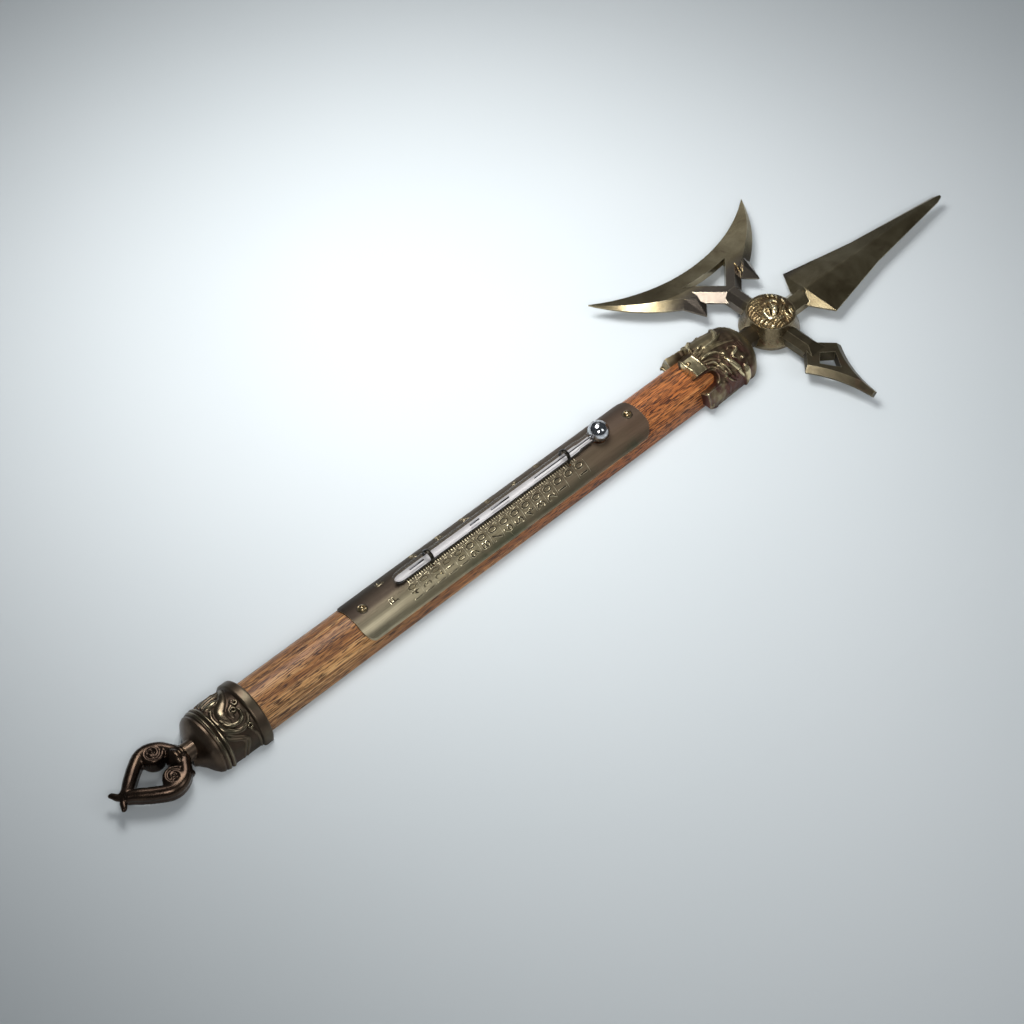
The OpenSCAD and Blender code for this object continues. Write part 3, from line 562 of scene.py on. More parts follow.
def tube(bm, points, radius, around):
    """A round bar along a path of points; radius is one number or one for each point."""
    pts = [Vector(p) for p in points]
    radii = radius if isinstance(radius, (list, tuple, np.ndarray)) else [radius] * len(pts)
    rings = []
    side = Vector((0, 0, 1)) if abs((pts[1] - pts[0]).normalized().z) < 0.9 else Vector((0, 1, 0))
    for i, p in enumerate(pts):
        ahead = (pts[min(i + 1, len(pts) - 1)] - pts[max(i - 1, 0)]).normalized()
        side = (side - ahead * side.dot(ahead)).normalized()
        up = ahead.cross(side)
        turns = [2 * math.pi * k / around for k in range(around)]
        rings.append(circle(bm, around, lambda k, _: p + (
            side * math.cos(turns[k]) + up * math.sin(turns[k])) * radii[i]))
    bridge(bm, rings)
    bmesh.ops.edgeloop_fill(bm, edges=rings[0])
    bmesh.ops.edgeloop_fill(bm, edges=rings[-1])


# ---- shaft and scale plate

for material, names in (
    (OAK, "oak_shaft"), (PLATE, "scale_plate"), (GLASS, "glass_tube"), (OPAL, "enamel_strip"),
    (SCREW, "plate_screw_low plate_screw_high front_pin"), (WIRE, "tube_clip_low tube_clip_high"),
    (QUICKSILVER, "mercury_reservoir"), (SHADED_MERCURY, "mercury_thread mercury_meniscus"),
    (STEEL, "finial_stud head_tang"), (CAST, "hub side_pins"), (LEAF, "upper_ferrule"),
    (BRONZE, "lower_ferrule"), (CAP_BRONZE, "end_cap lower_pin"), (FINIAL_BRONZE, "finial"),
    (GILT, "medallion"), (BLADE, "spear_point axe_blade"), (SHADED_BEAK, "beak"),
):
    for name in names.split():
        mesh = nodes[name].data
        if mesh.materials:
            for i in range(len(mesh.materials)):
                mesh.materials[i] = material
        else:
            mesh.materials.append(material)

softened("scale_plate", "scale_plate_rounded", PLATE, 0.14, angle=30)


def reading(fahrenheit):
    """Where a temperature stands along the shaft."""
    return MARK_LOW + (fahrenheit + 10) * (MARK_HIGH - MARK_LOW) / 150


def on_plate(s, y, lift):
    """A point at an arc length from the plate's crown, a place along it and a lift over it."""
    a = s / PLATE_R
    return (PLATE_R + lift) * math.sin(a), y, SHAFT_Z + (PLATE_R + lift) * math.cos(a)


def figure(bm, text, size, s, y, align="CENTER", wide=1.0):
    """Figures struck into the plate: a raised burr round a dark floor, bent to the plate."""
    curve = having(
        bpy.data.curves.new("figure", "FONT"), body=text, size=size, align_x=align,
        align_y="CENTER", resolution_u=3, offset=0.2, space_character=1.14)
    letters = put("figure", curve)
    bpy.context.view_layer.update()
    mesh = letters.to_mesh()
    part = bmesh.new()
    part.from_mesh(mesh)
    letters.to_mesh_clear()
    bpy.data.objects.remove(letters)
    bpy.data.curves.remove(curve)
    bmesh.ops.remove_doubles(part, verts=part.verts, dist=0.001)
    bmesh.ops.dissolve_limit(part, angle_limit=0.02, verts=part.verts, edges=part.edges)
    for v in part.verts:
        v.co.z = 0.0
    rim = bmesh.ops.inset_region(
        part, faces=part.faces[:], thickness=0.2, depth=0.0, use_even_offset=True,
        use_boundary=True)
    outer = set(rim["faces"])
    inner = [f for f in part.faces if f not in outer]
    for v in {v for f in inner for v in f.verts}:
        v.co.z = 0.16
    rim = bmesh.ops.inset_region(
        part, faces=inner, thickness=0.06, depth=0.0, use_even_offset=True, use_boundary=True)
    walls = set(rim["faces"])
    floor = [f for f in inner if f.is_valid and f not in walls]
    for v in {v for f in floor for v in f.verts}:
        v.co.z = 0.02
    for f in floor:
        f.material_index = 1
    for v in part.verts:
        v.co = on_plate(s + v.co.x * wide, y + v.co.y, 0.01 + v.co.z)
    mesh = to_mesh("figure", part)
    bm.from_mesh(mesh)
    bpy.data.meshes.remove(mesh)


def tick(bm, s0, s1, y0, y1):
    """A short line struck between two arc lengths and two heights, bent to the plate."""
    steps = max(1, round((s1 - s0) / 0.9))
    strip = bmesh.ops.create_grid(bm, x_segments=steps, y_segments=1, size=0.5)["verts"]
    for v in strip:
        s, y = s0 + (v.co.x + 0.5) * (s1 - s0), y0 + (v.co.y + 0.5) * (y1 - y0)
        v.co = on_plate(s, y, 0.012)
    faces = list(dict.fromkeys(f for v in strip for f in v.link_faces))
    bmesh.ops.recalc_face_normals(bm, faces=faces)
    if faces[0].normal.z < 0:
        bmesh.ops.reverse_faces(bm, faces=faces)
    rim = bmesh.ops.inset_region(
        bm, faces=faces, thickness=0.1, depth=0.06, use_boundary=True, use_even_offset=True)
    for f in rim["faces"]:
        f.material_index = 1


def reaumur(degrees):
    """Where a temperature of the Reaumur scale stands along the shaft."""
    return reading(32 + 2.25 * degrees)


def struck_figures():
    """Fahrenheit figures on the beak's side of the tube, Reaumur figures on the axe's."""
    bm = bmesh.new()
    for f in range(-10, 150, 10):
        size, wide = (6.5, 1.06) if f < 100 else (6.2, 0.75)
        figure(bm, str(abs(f)), size, -4.35, reading(f), "RIGHT", wide)
    for r in range(-10, 50, 10):
        figure(bm, str(abs(r)), 5.0, 6.4, reaumur(r), "LEFT")
    figure(bm, "F", 6.2, -5.4, 246.3)
    figure(bm, "R", 5.6, 6.3, 245.2)
    keep("scale_figures", bm, [EDGE, DARK_FILL_AND_SHADOW], merge=False, smooth=60)


def struck_ladders():
    """A line for every two degrees Fahrenheit and for each Reaumur, and the border lines."""
    bm = bmesh.new()
    for step in range(-5, 71):
        y = reading(step * 2)
        ten = step % 5 == 0
        tick(bm, -4.1 if ten else -3.6, -1.6, y - 0.34, y + 0.34)
        if ten:
            tick(bm, -11.6, -4.4, y - 3.35, y - 2.85)
    for step in range(-18, 49):
        y = reaumur(step)
        if MARK_LOW <= y <= MARK_HIGH:
            tick(bm, 3.4, 5.8 if step % 10 == 0 else 5.2, y - 0.22, y + 0.22)
    stretch = 4.1
    for s in (-4.2, 5.9):
        for k in range(25):
            y = MARK_LOW - 1 + k * stretch
            tick(bm, s, s + 0.34, y, y + stretch)
    keep("scale_ladders", bm, [EDGE, DARK_FILL_AND_SHADOW], merge=False, smooth=60)


def screw_seat(name, y):
    """A dark ring round a screw on the plate: a painted shadow."""
    bm = bmesh.new()
    rings = []
    for radius, lift in ((2.1, 0.03), (2.2, 0.14), (2.36, 0.1), (2.6, 0.02)):
        rings.append(circle(bm, 48, lambda _, p: (
            radius * p.x, y + radius * p.y,
            SHAFT_Z + math.sqrt((PLATE_R + lift) ** 2 - (radius * p.x) ** 2))))
    bridge(bm, rings)
    keep(name, bm, DARK_FILL_AND_SHADOW, smooth=60)


struck_figures()
struck_ladders()
# painted shadow rings round the two screws
screw_seat("screw_shadow_ring_low", SCREW_LOW)
screw_seat("screw_shadow_ring_high", SCREW_HIGH)


# ---- tube and mercury

def turned(bm, profile, segments, start=90.0, sweep=360.0):
    """Turns a profile of (place, radius) about the tube's axis, from an angle off its back."""
    a = math.radians(start)
    verts = [bm.verts.new((r * math.sin(a), y, TUBE_Z - r * math.cos(a))) for y, r in profile]
    edges = [bm.edges.new(pair) for pair in zip(verts, verts[1:])]
    bmesh.ops.spin(
        bm, geom=verts + edges, cent=(0, 0, TUBE_Z), axis=(0, 1, 0), dvec=(0, 0, 0),
        angle=math.radians(sweep), steps=segments, use_merge=sweep == 360, use_duplicate=False)


def tube_pieces():
    """The blown bulb, the clear stem that flares into it, and the opal glass at its back."""
    bulb = bmesh.new()
    ball = [(BULB_Y + BULB_R * math.sin(a), BULB_R * math.cos(a))
            for a in np.linspace(-math.pi / 2, math.pi / 2, 36)]
    turned(bulb, [(ball[0][0], 0.0), *ball[1:-1], (ball[-1][0], 0.0)], 48)
    keep("tube_bulb", bulb, GLASS, replaces=["glass_tube"], smooth=50)
    stem = bmesh.new()
    turned(stem, [(121.6, 0.0), (121.6, 3.15), (122.4, 2.65), (123.4, 2.3), (125, 2.2),
                  (128.6, 2.2), (130, 2.5), (131.6, 2.72), (237.4, 2.75), (238.4, 2.72),
                  (239.8, 2.5), (240.9, 2.0), (241.6, 1.2), (241.9, 0.0)], 40)
    keep("tube_stem", stem, STEM, smooth=50)
    backing = bmesh.new()
    turned(backing, ((122.95, 1.6), (130.4, 1.6), (131.8, 2.1), (237.6, 2.1), (238.8, 1.95),
                     (239.8, 1.6), (240.6, 1.1), (241.1, 0.5)), 20, -66.0, -132.0)
    bmesh.ops.recalc_face_normals(backing, faces=backing.faces)
    bmesh.ops.solidify(backing, geom=backing.faces[:], thickness=0.3)
    keep("opal_backing", backing, OPAL, replaces=["enamel_strip"])


def column_pieces():
    """The mercury column, which stretches from the bulb to its moving top."""
    bm = bmesh.new()
    top = reading(24) - TOP_LENGTH
    tube(bm, [(0, y, TUBE_Z) for y in np.linspace(COLUMN_START, top, 41)], COLUMN_R, 12)
    piece = keep(
        "mercury_thread_column", bm, SHADED_MERCURY, body=None, replaces=["mercury_thread"])
    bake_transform(piece)
    head = bmesh.new()
    turned(head, [(top, 0.0), (top, COLUMN_R), (top + TOP_LENGTH - 0.3, COLUMN_R),
                  (top + TOP_LENGTH - 0.1, 0.2), (top + TOP_LENGTH, 0.0)], 12)
    keep("mercury_top", head, SHADED_MERCURY, body="mercury", replaces=["mercury_meniscus"])
    parted = bmesh.new()
    for low, high in ((47, 63), (74, 82), (123, 135)):
        a, b = reading(low), reading(high)
        # films on the wall of the bore, so that the rising column passes inside them
        turned(parted, [(a, 0.29), (a + 0.12, 0.35), (b - 0.12, 0.35), (b, 0.29), (a, 0.29)], 12)
    keep("mercury_parted", parted, SHADED_MERCURY)


def clip_band(name, clip, y):
    """A wire bent over the tube, hammered broad on top, with thin legs."""
    bm = bmesh.new()
    leg = [(2.7, -3.2), (2.8, -2.4), (3.0, -1.4)]
    over = [(3.08 * math.sin(a), 3.08 * math.cos(a)) for a in np.linspace(-1.7, 1.7, 24)]
    path = [(-x, z) for x, z in leg] + over + leg[::-1]
    tube(bm, [(x, y, TUBE_Z + z) for x, z in path], 0.3, 16)
    for v in bm.verts:
        v.co.y = y + (v.co.y - y) * (3.2 if v.co.z > TUBE_Z - 1.6 else 1.2)
    keep(name, bm, WIRE, replaces=[clip])


tube_pieces()
column_pieces()
clip_band("clip_band_low", "tube_clip_low", CLIP_LOW)
clip_band("clip_band_high", "tube_clip_high", CLIP_HIGH)


# ---- upper ferrule

UPPER_PROFILE = (
    # place, radius
    (UPPER_START, 0.0), (18.2, 6.2), (20, 9.2), (22.2, 12.2), (24.4, 14.3), (26.2, 15.3),
    (27.2, 15.5), (33, 15.8), (42, 16.1), (50, UPPER_R), (62, UPPER_R))
UPPER_RIBS = (
    # points as (degrees, place), width, height
    (((-7.6, 52.2), (-6.6, 50), (-6.2, 46.4), (-10.6, 43), (-20.6, 40.6)), 0.8, 1.3),
    (((-12.4, 51.8), (-14.6, 48), (-20, 45.2), (-28, 43.6)), 0.7, 0.7),
    (((-18.2, 51.6), (-22.6, 47.6), (-34, 46.4), (-46, 45)), 0.85, 1.25),
    (((-25, 51), (-30, 48.8), (-43, 47), (-56, 45.2), (-66, 43.2), (-73, 40.6)), 0.8, 1.0),
    (((-29, 44.8), (-40, 43.6), (-52, 42.8), (-62, 41.8)), 0.65, 0.75),
    (((-27, 41.4), (-34, 40.4), (-43, 39), (-52, 37.7), (-63, 37), (-76, 35.2)), 1.3, 1.5),
    (((-39, 35.6), (-34, 37.2), (-30, 36.6), (-28.4, 34.4), (-24, 32.6), (-18, 33.2),
      (-15.6, 35.6), (-18.4, 36.8)), 0.8, 1.15),
    (((-3, 51.8), (0, 46), (-0.6, 40), (-4.6, 35.6), (-11, 30.4)), 0.9, 0.9),
    (((3.4, 51.8), (4.6, 46), (4.2, 40), (1, 34.6)), 0.6, 0.6),
    (((7.4, 51.6), (8, 45.5), (8.4, 39.4), (12, 34.4), (17, 31.6)), 0.75, 0.9),
    (((12, 51.2), (13.6, 48), (16, 44.8)), 0.8, 1.0),
    (((16, 51), (26, 49.8), (38, 47.2), (50, 44.2), (64, 42)), 1.0, 1.15),
    (((10, 38.4), (18, 34.4), (30, 32.2), (46, 30), (60, 28.8)), 1.0, 1.05),
    (((34, 50.4), (46, 48.4), (60, 46.6), (76, 45.6)), 1.0, 0.9),
    (((-56, 33.4), (-70, 32.6), (-84, 32.8), (-98, 33.6)), 1.9, 1.6),
    (((-60, 47.6), (-74, 46), (-90, 45.2)), 1.0, 0.6),
    (((54, 37.6), (70, 36.6), (86, 36.8)), 1.3, 1.0),
)


NOTCHES = ((-42, 49.6), (34, 49.8))     # degrees, place of the floor
NOTCH_R = 3.9
LAPPET = -7.5                           # degrees of the lappet's middle


def unrolled(points, radius):
    """Points given in degrees round the shaft, as lengths on a flat sheet."""
    return [(math.radians(a) * radius, y) for a, y in points]


def upper_mouth(degrees):
    """Where the shell ends: a broad front lobe, two notches and two side lobes."""
    top = 60.4 + 0.4 * np.cos(np.radians(degrees * 9)) * (np.abs(degrees) < 30)
    top = top - 2.8 * unit((degrees - 40) / 30)
    top = top - np.clip(np.abs(degrees) - 82, 0, 20) ** 2 * 0.02
    for centre, floor in NOTCHES:
        d = np.abs(degrees - centre) * UPPER_DEGREE
        inside = NOTCH_R - np.sqrt(np.clip(NOTCH_R ** 2 - np.clip(d, 0, NOTCH_R) ** 2, 0, None))
        wall = np.interp(d, (NOTCH_R - 0.6, NOTCH_R, NOTCH_R + 0.6), (0, 0.45, 1))
        top = np.where(d < 4.6, floor + inside + (top - floor - inside) * wall ** 1.5, top)
    return top


def upper_height(degrees, y):
    """How far the carving stands out of the body of the upper ferrule."""
    s = np.radians(degrees) * UPPER_R
    h = np.zeros(s.shape)
    # two broad leaf bodies under the ribs, then the ribs, eyes and veins
    for at, size, height in (((31, 40.6), (8.2, 8.6), 0.9), ((-46, 38.6), (9.5, 8.2), 0.55)):
        h = knob(h, s, y, *unrolled([at], UPPER_R), size, height)
    for points, width, height in UPPER_RIBS:
        raised = rib(np.zeros(s.shape), s, y, unrolled(points, UPPER_R), width * 1.2, height)
        h = np.maximum(h, raised + np.minimum(h, 0.5) * (raised > 0.02))
    for at, size, height in (((-43, 32.8), 1.0, 1.5), ((-20.4, 40.5), 1.0, 1.5),
                             ((-46, 45.1), (1.4, 0.9), 1.45)):
        h = knob(h, s, y, *unrolled([at], UPPER_R), size, height)
    for points, width, depth in ((((-45, 41.6), (-56, 40.6), (-68, 39.4)), 1.0, 0.55),
                                 (((-9, 41), (-13, 37), (-20, 30.6)), 0.8, 0.4)):
        h = groove(h, s, y, unrolled(points, UPPER_R), width, depth)
    # fine hatch between the leaves and the shoulder
    hatch = (0.2 * (np.cos(s * 6.5) > 0.1) * (np.cos(y * 5.2) > -0.2)
             * (np.abs(degrees + 23) < 6.5) * (np.abs(y - 29.4) < 2.0))
    h = np.maximum(h, hatch)
    # lappet with a rolled lower lip and a groove under it
    from_middle = np.abs(degrees - LAPPET)
    flap = unit((18.5 - from_middle) / 1.2) * unit((y - 52.4) / 0.35)
    h = np.where(y > 52.1, np.maximum(h * unit((52.6 - y) / 0.5), 0.8 * flap), h)
    h = np.maximum(
        h, 0.98 * unit(1 - ((y - 53.1) / 0.7) ** 2) ** 0.5 * unit((18.8 - from_middle) / 1.2))
    h = h - 0.5 * unit(1 - ((y - 52.05) / 0.35) ** 2) * (from_middle < 20)
    # side lobes are plain, curl outwards and carry a bead along their edges
    mouth = upper_mouth(degrees)
    lobe = unit((np.abs(degrees) - 48) / 5)
    h = h + lobe * 0.9 * unit((y - 49) / 12) ** 2
    edge = mouth - y
    h = h + 0.4 * unit(1 - ((edge - 0.8) / 0.8) ** 2) ** 0.5 * (y > 49)
    beside = np.minimum(np.abs(degrees + 57.5), np.abs(degrees - 49.5)) * UPPER_DEGREE
    h = h + 0.45 * unit(1 - (beside / 0.8) ** 2) ** 0.5 * unit((y - 49) / 2)
    soft = 0.09 * np.sin(s * 1.1 + y * 0.7) * np.sin(y * 0.9 - s * 0.5)
    return (h + soft) * unit((y - 24.5) / 3.5)


def upper_shape(u, v):
    """The outer skin of the upper ferrule, with its carving, down to the wall plane."""
    v = v ** 0.9
    places, radii = zip(*UPPER_PROFILE)
    y = UPPER_START + v * 43
    # the skin's width in degrees depends on the place, and the place on the degrees
    for _ in range(3):
        radius = np.interp(y, places, radii)
        limit = np.degrees(np.arccos(np.clip(-SHAFT_Z / np.maximum(radius, SHAFT_Z + 0.1), -1, 1)))
        degrees = u * limit
        y = UPPER_START + v * (upper_mouth(degrees) - UPPER_START)
    radius = np.interp(y, places, radii)
    height = upper_height(degrees, y)
    points = wrap(radius + height, degrees, y)
    points[:, 2] = np.maximum(points[:, 2], 0.0)
    plain = np.maximum(unit((29 - y) / 4), unit((np.abs(degrees) - 48) / 5))
    flap = unit((18.5 - np.abs(degrees - LAPPET)) / 1.2) * unit((y - 52.6) / 0.35)
    crest = np.maximum(np.maximum(height / 1.65, 0.36 * plain), 0.8 * flap)
    return points, unit(crest)


def drawn_rim(bm):
    """Draws the open rim of a shell out and gives the new points, which are still on it."""
    made = bmesh.ops.extrude_edge_only(bm, edges=[e for e in bm.edges if e.is_boundary])
    return [g for g in made["geom"] if isinstance(g, bmesh.types.BMVert)]


def turn_in(bm):
    """Turns a shell's rim in to the shaft and, short of the shaft's end, closes its back."""
    for v in drawn_rim(bm):
        if v.co.y < SHAFT_END:
            v.co = (0.0, v.co.y, 0.0)
        else:
            side = Vector((v.co.x, 0, v.co.z - SHAFT_Z)).normalized() * FERRULE_IN
            v.co = (side.x, v.co.y, max(SHAFT_Z + side.z, 0.0))


def upper_ferrule():
    """The carved sleeve and the eight-sided arm that joins it to the hub."""
    bm = carve(380, 150, upper_shape)
    bmesh.ops.remove_doubles(bm, verts=bm.verts, dist=0.002)
    turn_in(bm)
    arm = bmesh.ops.create_cone(
        bm, cap_ends=True, segments=8, radius1=ARM_R, radius2=ARM_R, depth=12.6)["verts"]
    for degrees, about in ((22.5, "Z"), (-90, "X")):
        bmesh.ops.rotate(
            bm, verts=arm, cent=(0, 0, 0), matrix=Matrix.Rotation(math.radians(degrees), 3, about))
    bmesh.ops.translate(bm, verts=arm, vec=(0, 18.35, AXIS_Z))
    bmesh.ops.bevel(
        bm, geom=list(dict.fromkeys(e for v in arm for e in v.link_edges)), offset=0.35,
        segments=2, profile=0.5, affect="EDGES", material=-1)
    keep("acanthus_ferrule", bm, LEAF, replaces=["upper_ferrule"], smooth=60)


upper_ferrule()


# ---- lower ferrule

LOWER_PROFILE = (
    # place, radius: rim band, body and two beads
    (LOWER_MOUTH, 15.7), (323.8, 16.25), (324.5, 16.4), (327.5, 16.4), (328.1, 16.1),
    (328.6, 15.1), (329.4, 14.9), (342.3, 14.7), (342.8, 15.2), (343.4, 15.5), (344.0, 15.3),
    (344.5, 14.6), (345.0, 15.1), (345.6, 15.3), (346.1, 14.9), (346.5, 14.9), (CAP_Y, 14.5))
LOWER_RIBS = (
    (((8, 340.6), (-2, 342), (-12.2, 342.3), (-27.8, 341.4), (-37.8, 339.1), (-45, 335.6),
      (-42.6, 332), (-36, 330), (-28, 329.2)), 1.0, 1.05),
    (((-14, 340.3), (-24, 339.4), (-31.4, 337.2), (-33, 334.4), (-29, 331.8), (-21, 331),
      (-15, 331.2)), 0.85, 1.35),
    (((-24, 337.6), (-14, 338.4), (-2, 337.8), (10, 334.8), (22, 332.2), (38, 330.2)), 1.7, 1.0),
    (((-23, 334.8), (-17, 334.8), (-11, 334.6), (-5, 332.8), (2, 331)), 0.9, 0.8),
    (((-37, 342.6), (-45.6, 341.7), (-53, 339.2), (-60, 336.4), (-68, 335.8), (-84, 337.4),
      (-98, 338.2)), 0.65, 0.65),
    (((-40, 340.8), (-47, 339.2), (-54, 336.6), (-61, 334.6), (-69, 334.2), (-84, 335.6),
      (-98, 336.4)), 0.65, 0.65),
    (((-98, 329.2), (-76, 329.4), (-60, 330.2), (-50, 331.4), (-45, 331), (-44, 330)),
     0.6, 0.75),
    (((29, 341.4), (35, 338.4), (36, 334.8), (32, 331.4)), 1.0, 0.95),
    (((38, 341.8), (46, 339), (48, 334.8), (43, 331)), 0.9, 0.85),
    (((50, 342), (60, 339.6), (66, 336), (64, 332)), 1.0, 0.9),
    (((66, 341.6), (78, 340), (88, 337), (98, 336)), 0.9, 0.8),
)
LOWER_EYES = ((-12.6, 333.0), (-4.2, 330.6), (-47.5, 331.0))


def lower_height(degrees, y):
    """How far the scrolls stand out of the lower ferrule."""
    s = np.radians(degrees) * LOWER_R
    h = np.zeros(s.shape)
    for points, width, height in LOWER_RIBS:
        h = rib(h, s, y, unrolled(points, LOWER_R), width * 1.35, height * 0.9, (0.5, 0.5), 0.55)
    for at, size, height in (((19.5, 338.2), (1.7, 4.2), 1.5), ((7.6, 340.6), 1.0, 1.3)):
        h = knob(h, s, y, *unrolled([at], LOWER_R), size, height)
    for a, b in unrolled(LOWER_EYES, LOWER_R):
        far = np.hypot(s - a, y - b)
        h = np.where(
            far < 1.5, 1.15 * unit(1 - ((far - 0.95) / 0.55) ** 2) ** 0.5 - 0.2 * (far < 0.5), h)
    soft = 0.06 * np.sin(s * 0.9 + y * 0.6) * np.sin(y * 0.8 - s * 0.4)
    return np.where((y > 328.9) & (y < 342.4), h + soft, 0.0)


def lower_shape(u, v):
    """The outer skin of the lower ferrule, down to the wall plane."""
    y = LOWER_MOUTH + v * (CAP_Y - LOWER_MOUTH)
    radius = np.interp(y, *zip(*LOWER_PROFILE))
    degrees = u * np.degrees(np.arccos(-SHAFT_Z / radius))
    height = lower_height(degrees, y)
    points = wrap(radius + height, degrees, y)
    points[:, 2] = np.maximum(points[:, 2], 0.0)
    ringed = np.interp(
        y, (323.4, 324, 328, 328.6, 342.6, 343.4, 344.4, 344.9, 345.6, 346.4),
        (0.15, 0.18, 0.18, 0, 0, 0.9, 0, 0.1, 0.9, 0))
    return points, unit(np.maximum(height / 1.4, ringed))


def lower_ferrule():
    """The cast sleeve at the other end of the shaft."""
    bm = carve(340, 130, lower_shape)
    turn_in(bm)
    keep("scroll_ferrule", bm, BRONZE, replaces=["lower_ferrule"], smooth=60)


lower_ferrule()
softened("end_cap", "end_cap_rounded", CAP_BRONZE, 0.3, angle=35)


# ---- finial

def finial():
    """One casting: a collared neck, two lobes that end in volutes, and a curled fish tail."""
    bm = bmesh.new()
    for side in (-1, 1):
        lobe = curve_through([(side * 0.8, 357.8), (side * 4.4, 360.4), (side * 8.7, 363.5),
                              (side * 10.9, 367.7), (side * 10.7, 372), (side * 8.1, 376.6),
                              (side * 4.8, 381.0), (side * 1.8, 384.8), (side * 0.5, 387.4)], 8)
        fat = np.interp(
            np.linspace(0, 1, len(lobe)), (0, 0.2, 0.45, 0.8, 1), (2.7, 3.0, 3.1, 2.9, 2.2))
        for level in (-1.1, 1.1):
            tube(bm, [(p[0], p[1], AXIS_Z + level) for p in lobe], fat, 16)
        centre = Vector((side * VOLUTE_X, VOLUTE_Y, AXIS_Z))
        tube(bm, [centre + Vector((0, 0, z)) for z in (-3.3, -3.0, -2.2, 2.2, 3.0, 3.3)],
             [4.2, 4.9, 5.2, 5.2, 4.9, 4.2], 32)
        for level in (-1, 1):
            spiral, turns = [], np.linspace(0, 1, 40)
            for t in turns:
                reach, angle = 4.4 - 3.1 * t, 9.4 * t - 1.2
                spiral.append(centre + Vector((-side * reach * math.cos(angle),
                                               reach * math.sin(angle),
                                               level * (3.2 + 0.5 * t))))
            tube(bm, spiral, 0.95 - 0.25 * turns, 10)
            tube(bm, [centre + Vector((0, 0, level * z)) for z in (2.6, 3.9, 4.3, 4.5)],
                 [1.1, 1.1, 0.8, 0.3], 12)
        hook = curve_through([(side * 6.4, 361.4), (side * 8.8, 360.6), (side * 10.6, 360.4)], 6)
        tube(bm, [(p[0], p[1], AXIS_Z) for p in hook],
             np.linspace(2.1, 1.0, len(hook)), 12)
        fluke = curve_through([(side * 0.2, 387.4), (side * 1.9, 389.6), (side * 4.3, 391.0),
                               (side * 4.1, 392.2)], 6)
        tube(bm, [(p[0], p[1], AXIS_Z + 0.3 + 0.5 * k / len(fluke)) for k, p in enumerate(fluke)],
             np.interp(np.linspace(0, 1, len(fluke)), (0, 0.5, 1), (1.9, 1.5, 0.75)), 12)
    tube(bm, [(0, 386.0 + 0.4 * k, AXIS_Z + 0.1 * k) for k in range(8)],
         np.linspace(2.4, 1.7, 8), 16)
    profile = ((357.06, 4.3), (357.8, 4.9), (358.6, 5.1), (359.2, 4.5), (359.8, 4.8),
               (360.6, 5.4), (361.6, 5.6), (362.8, 5.0), (364.2, 3.4), (365.4, 1.6))
    tube(bm, [(0, y, AXIS_Z) for y, _ in profile], [r for _, r in profile], 32)
    piece = keep(
        "finial_casting", bm, FINIAL_BRONZE, replaces=["finial"], smooth=180)
    # the parts run together as in a casting
    having(piece.modifiers.new("cast", "REMESH"), mode="VOXEL", voxel_size=0.34 * MM)
    having(piece.modifiers.new("soft", "SMOOTH"), factor=0.6, iterations=9)
    graph = bpy.context.evaluated_depsgraph_get()
    joined = bpy.data.meshes.new_from_object(piece.evaluated_get(graph))
    piece.modifiers.clear()
    old, piece.data = piece.data, joined
    bpy.data.meshes.remove(old)
    # hands have rubbed what stands proud of the front
    layer = joined.attributes.new("crest", "FLOAT", "POINT")
    co = np.empty(len(joined.vertices) * 3)
    joined.vertices.foreach_get("co", co)
    normal = np.empty(len(joined.vertices) * 3)
    joined.vertex_normals.foreach_get("vector", normal)
    proud = 0.9 * unit((co[2::3] / MM - AXIS_Z - 1.5) / 2.9) * unit(normal[2::3])
    layer.data.foreach_set("value", proud.astype(np.float32))
    for polygon in joined.polygons:
        polygon.use_smooth = True


finial()


# ---- head

softened("hub", "hub_rounded", CAST, 0.35, angle=30)
softened("spear_point", "spear_rounded", BLADE, 0.3, angle=12)
softened("axe_blade", "axe_rounded", BLADE, 0.3, angle=14)
softened("beak", "beak_rounded", SHADED_BEAK, 0.3, angle=14)

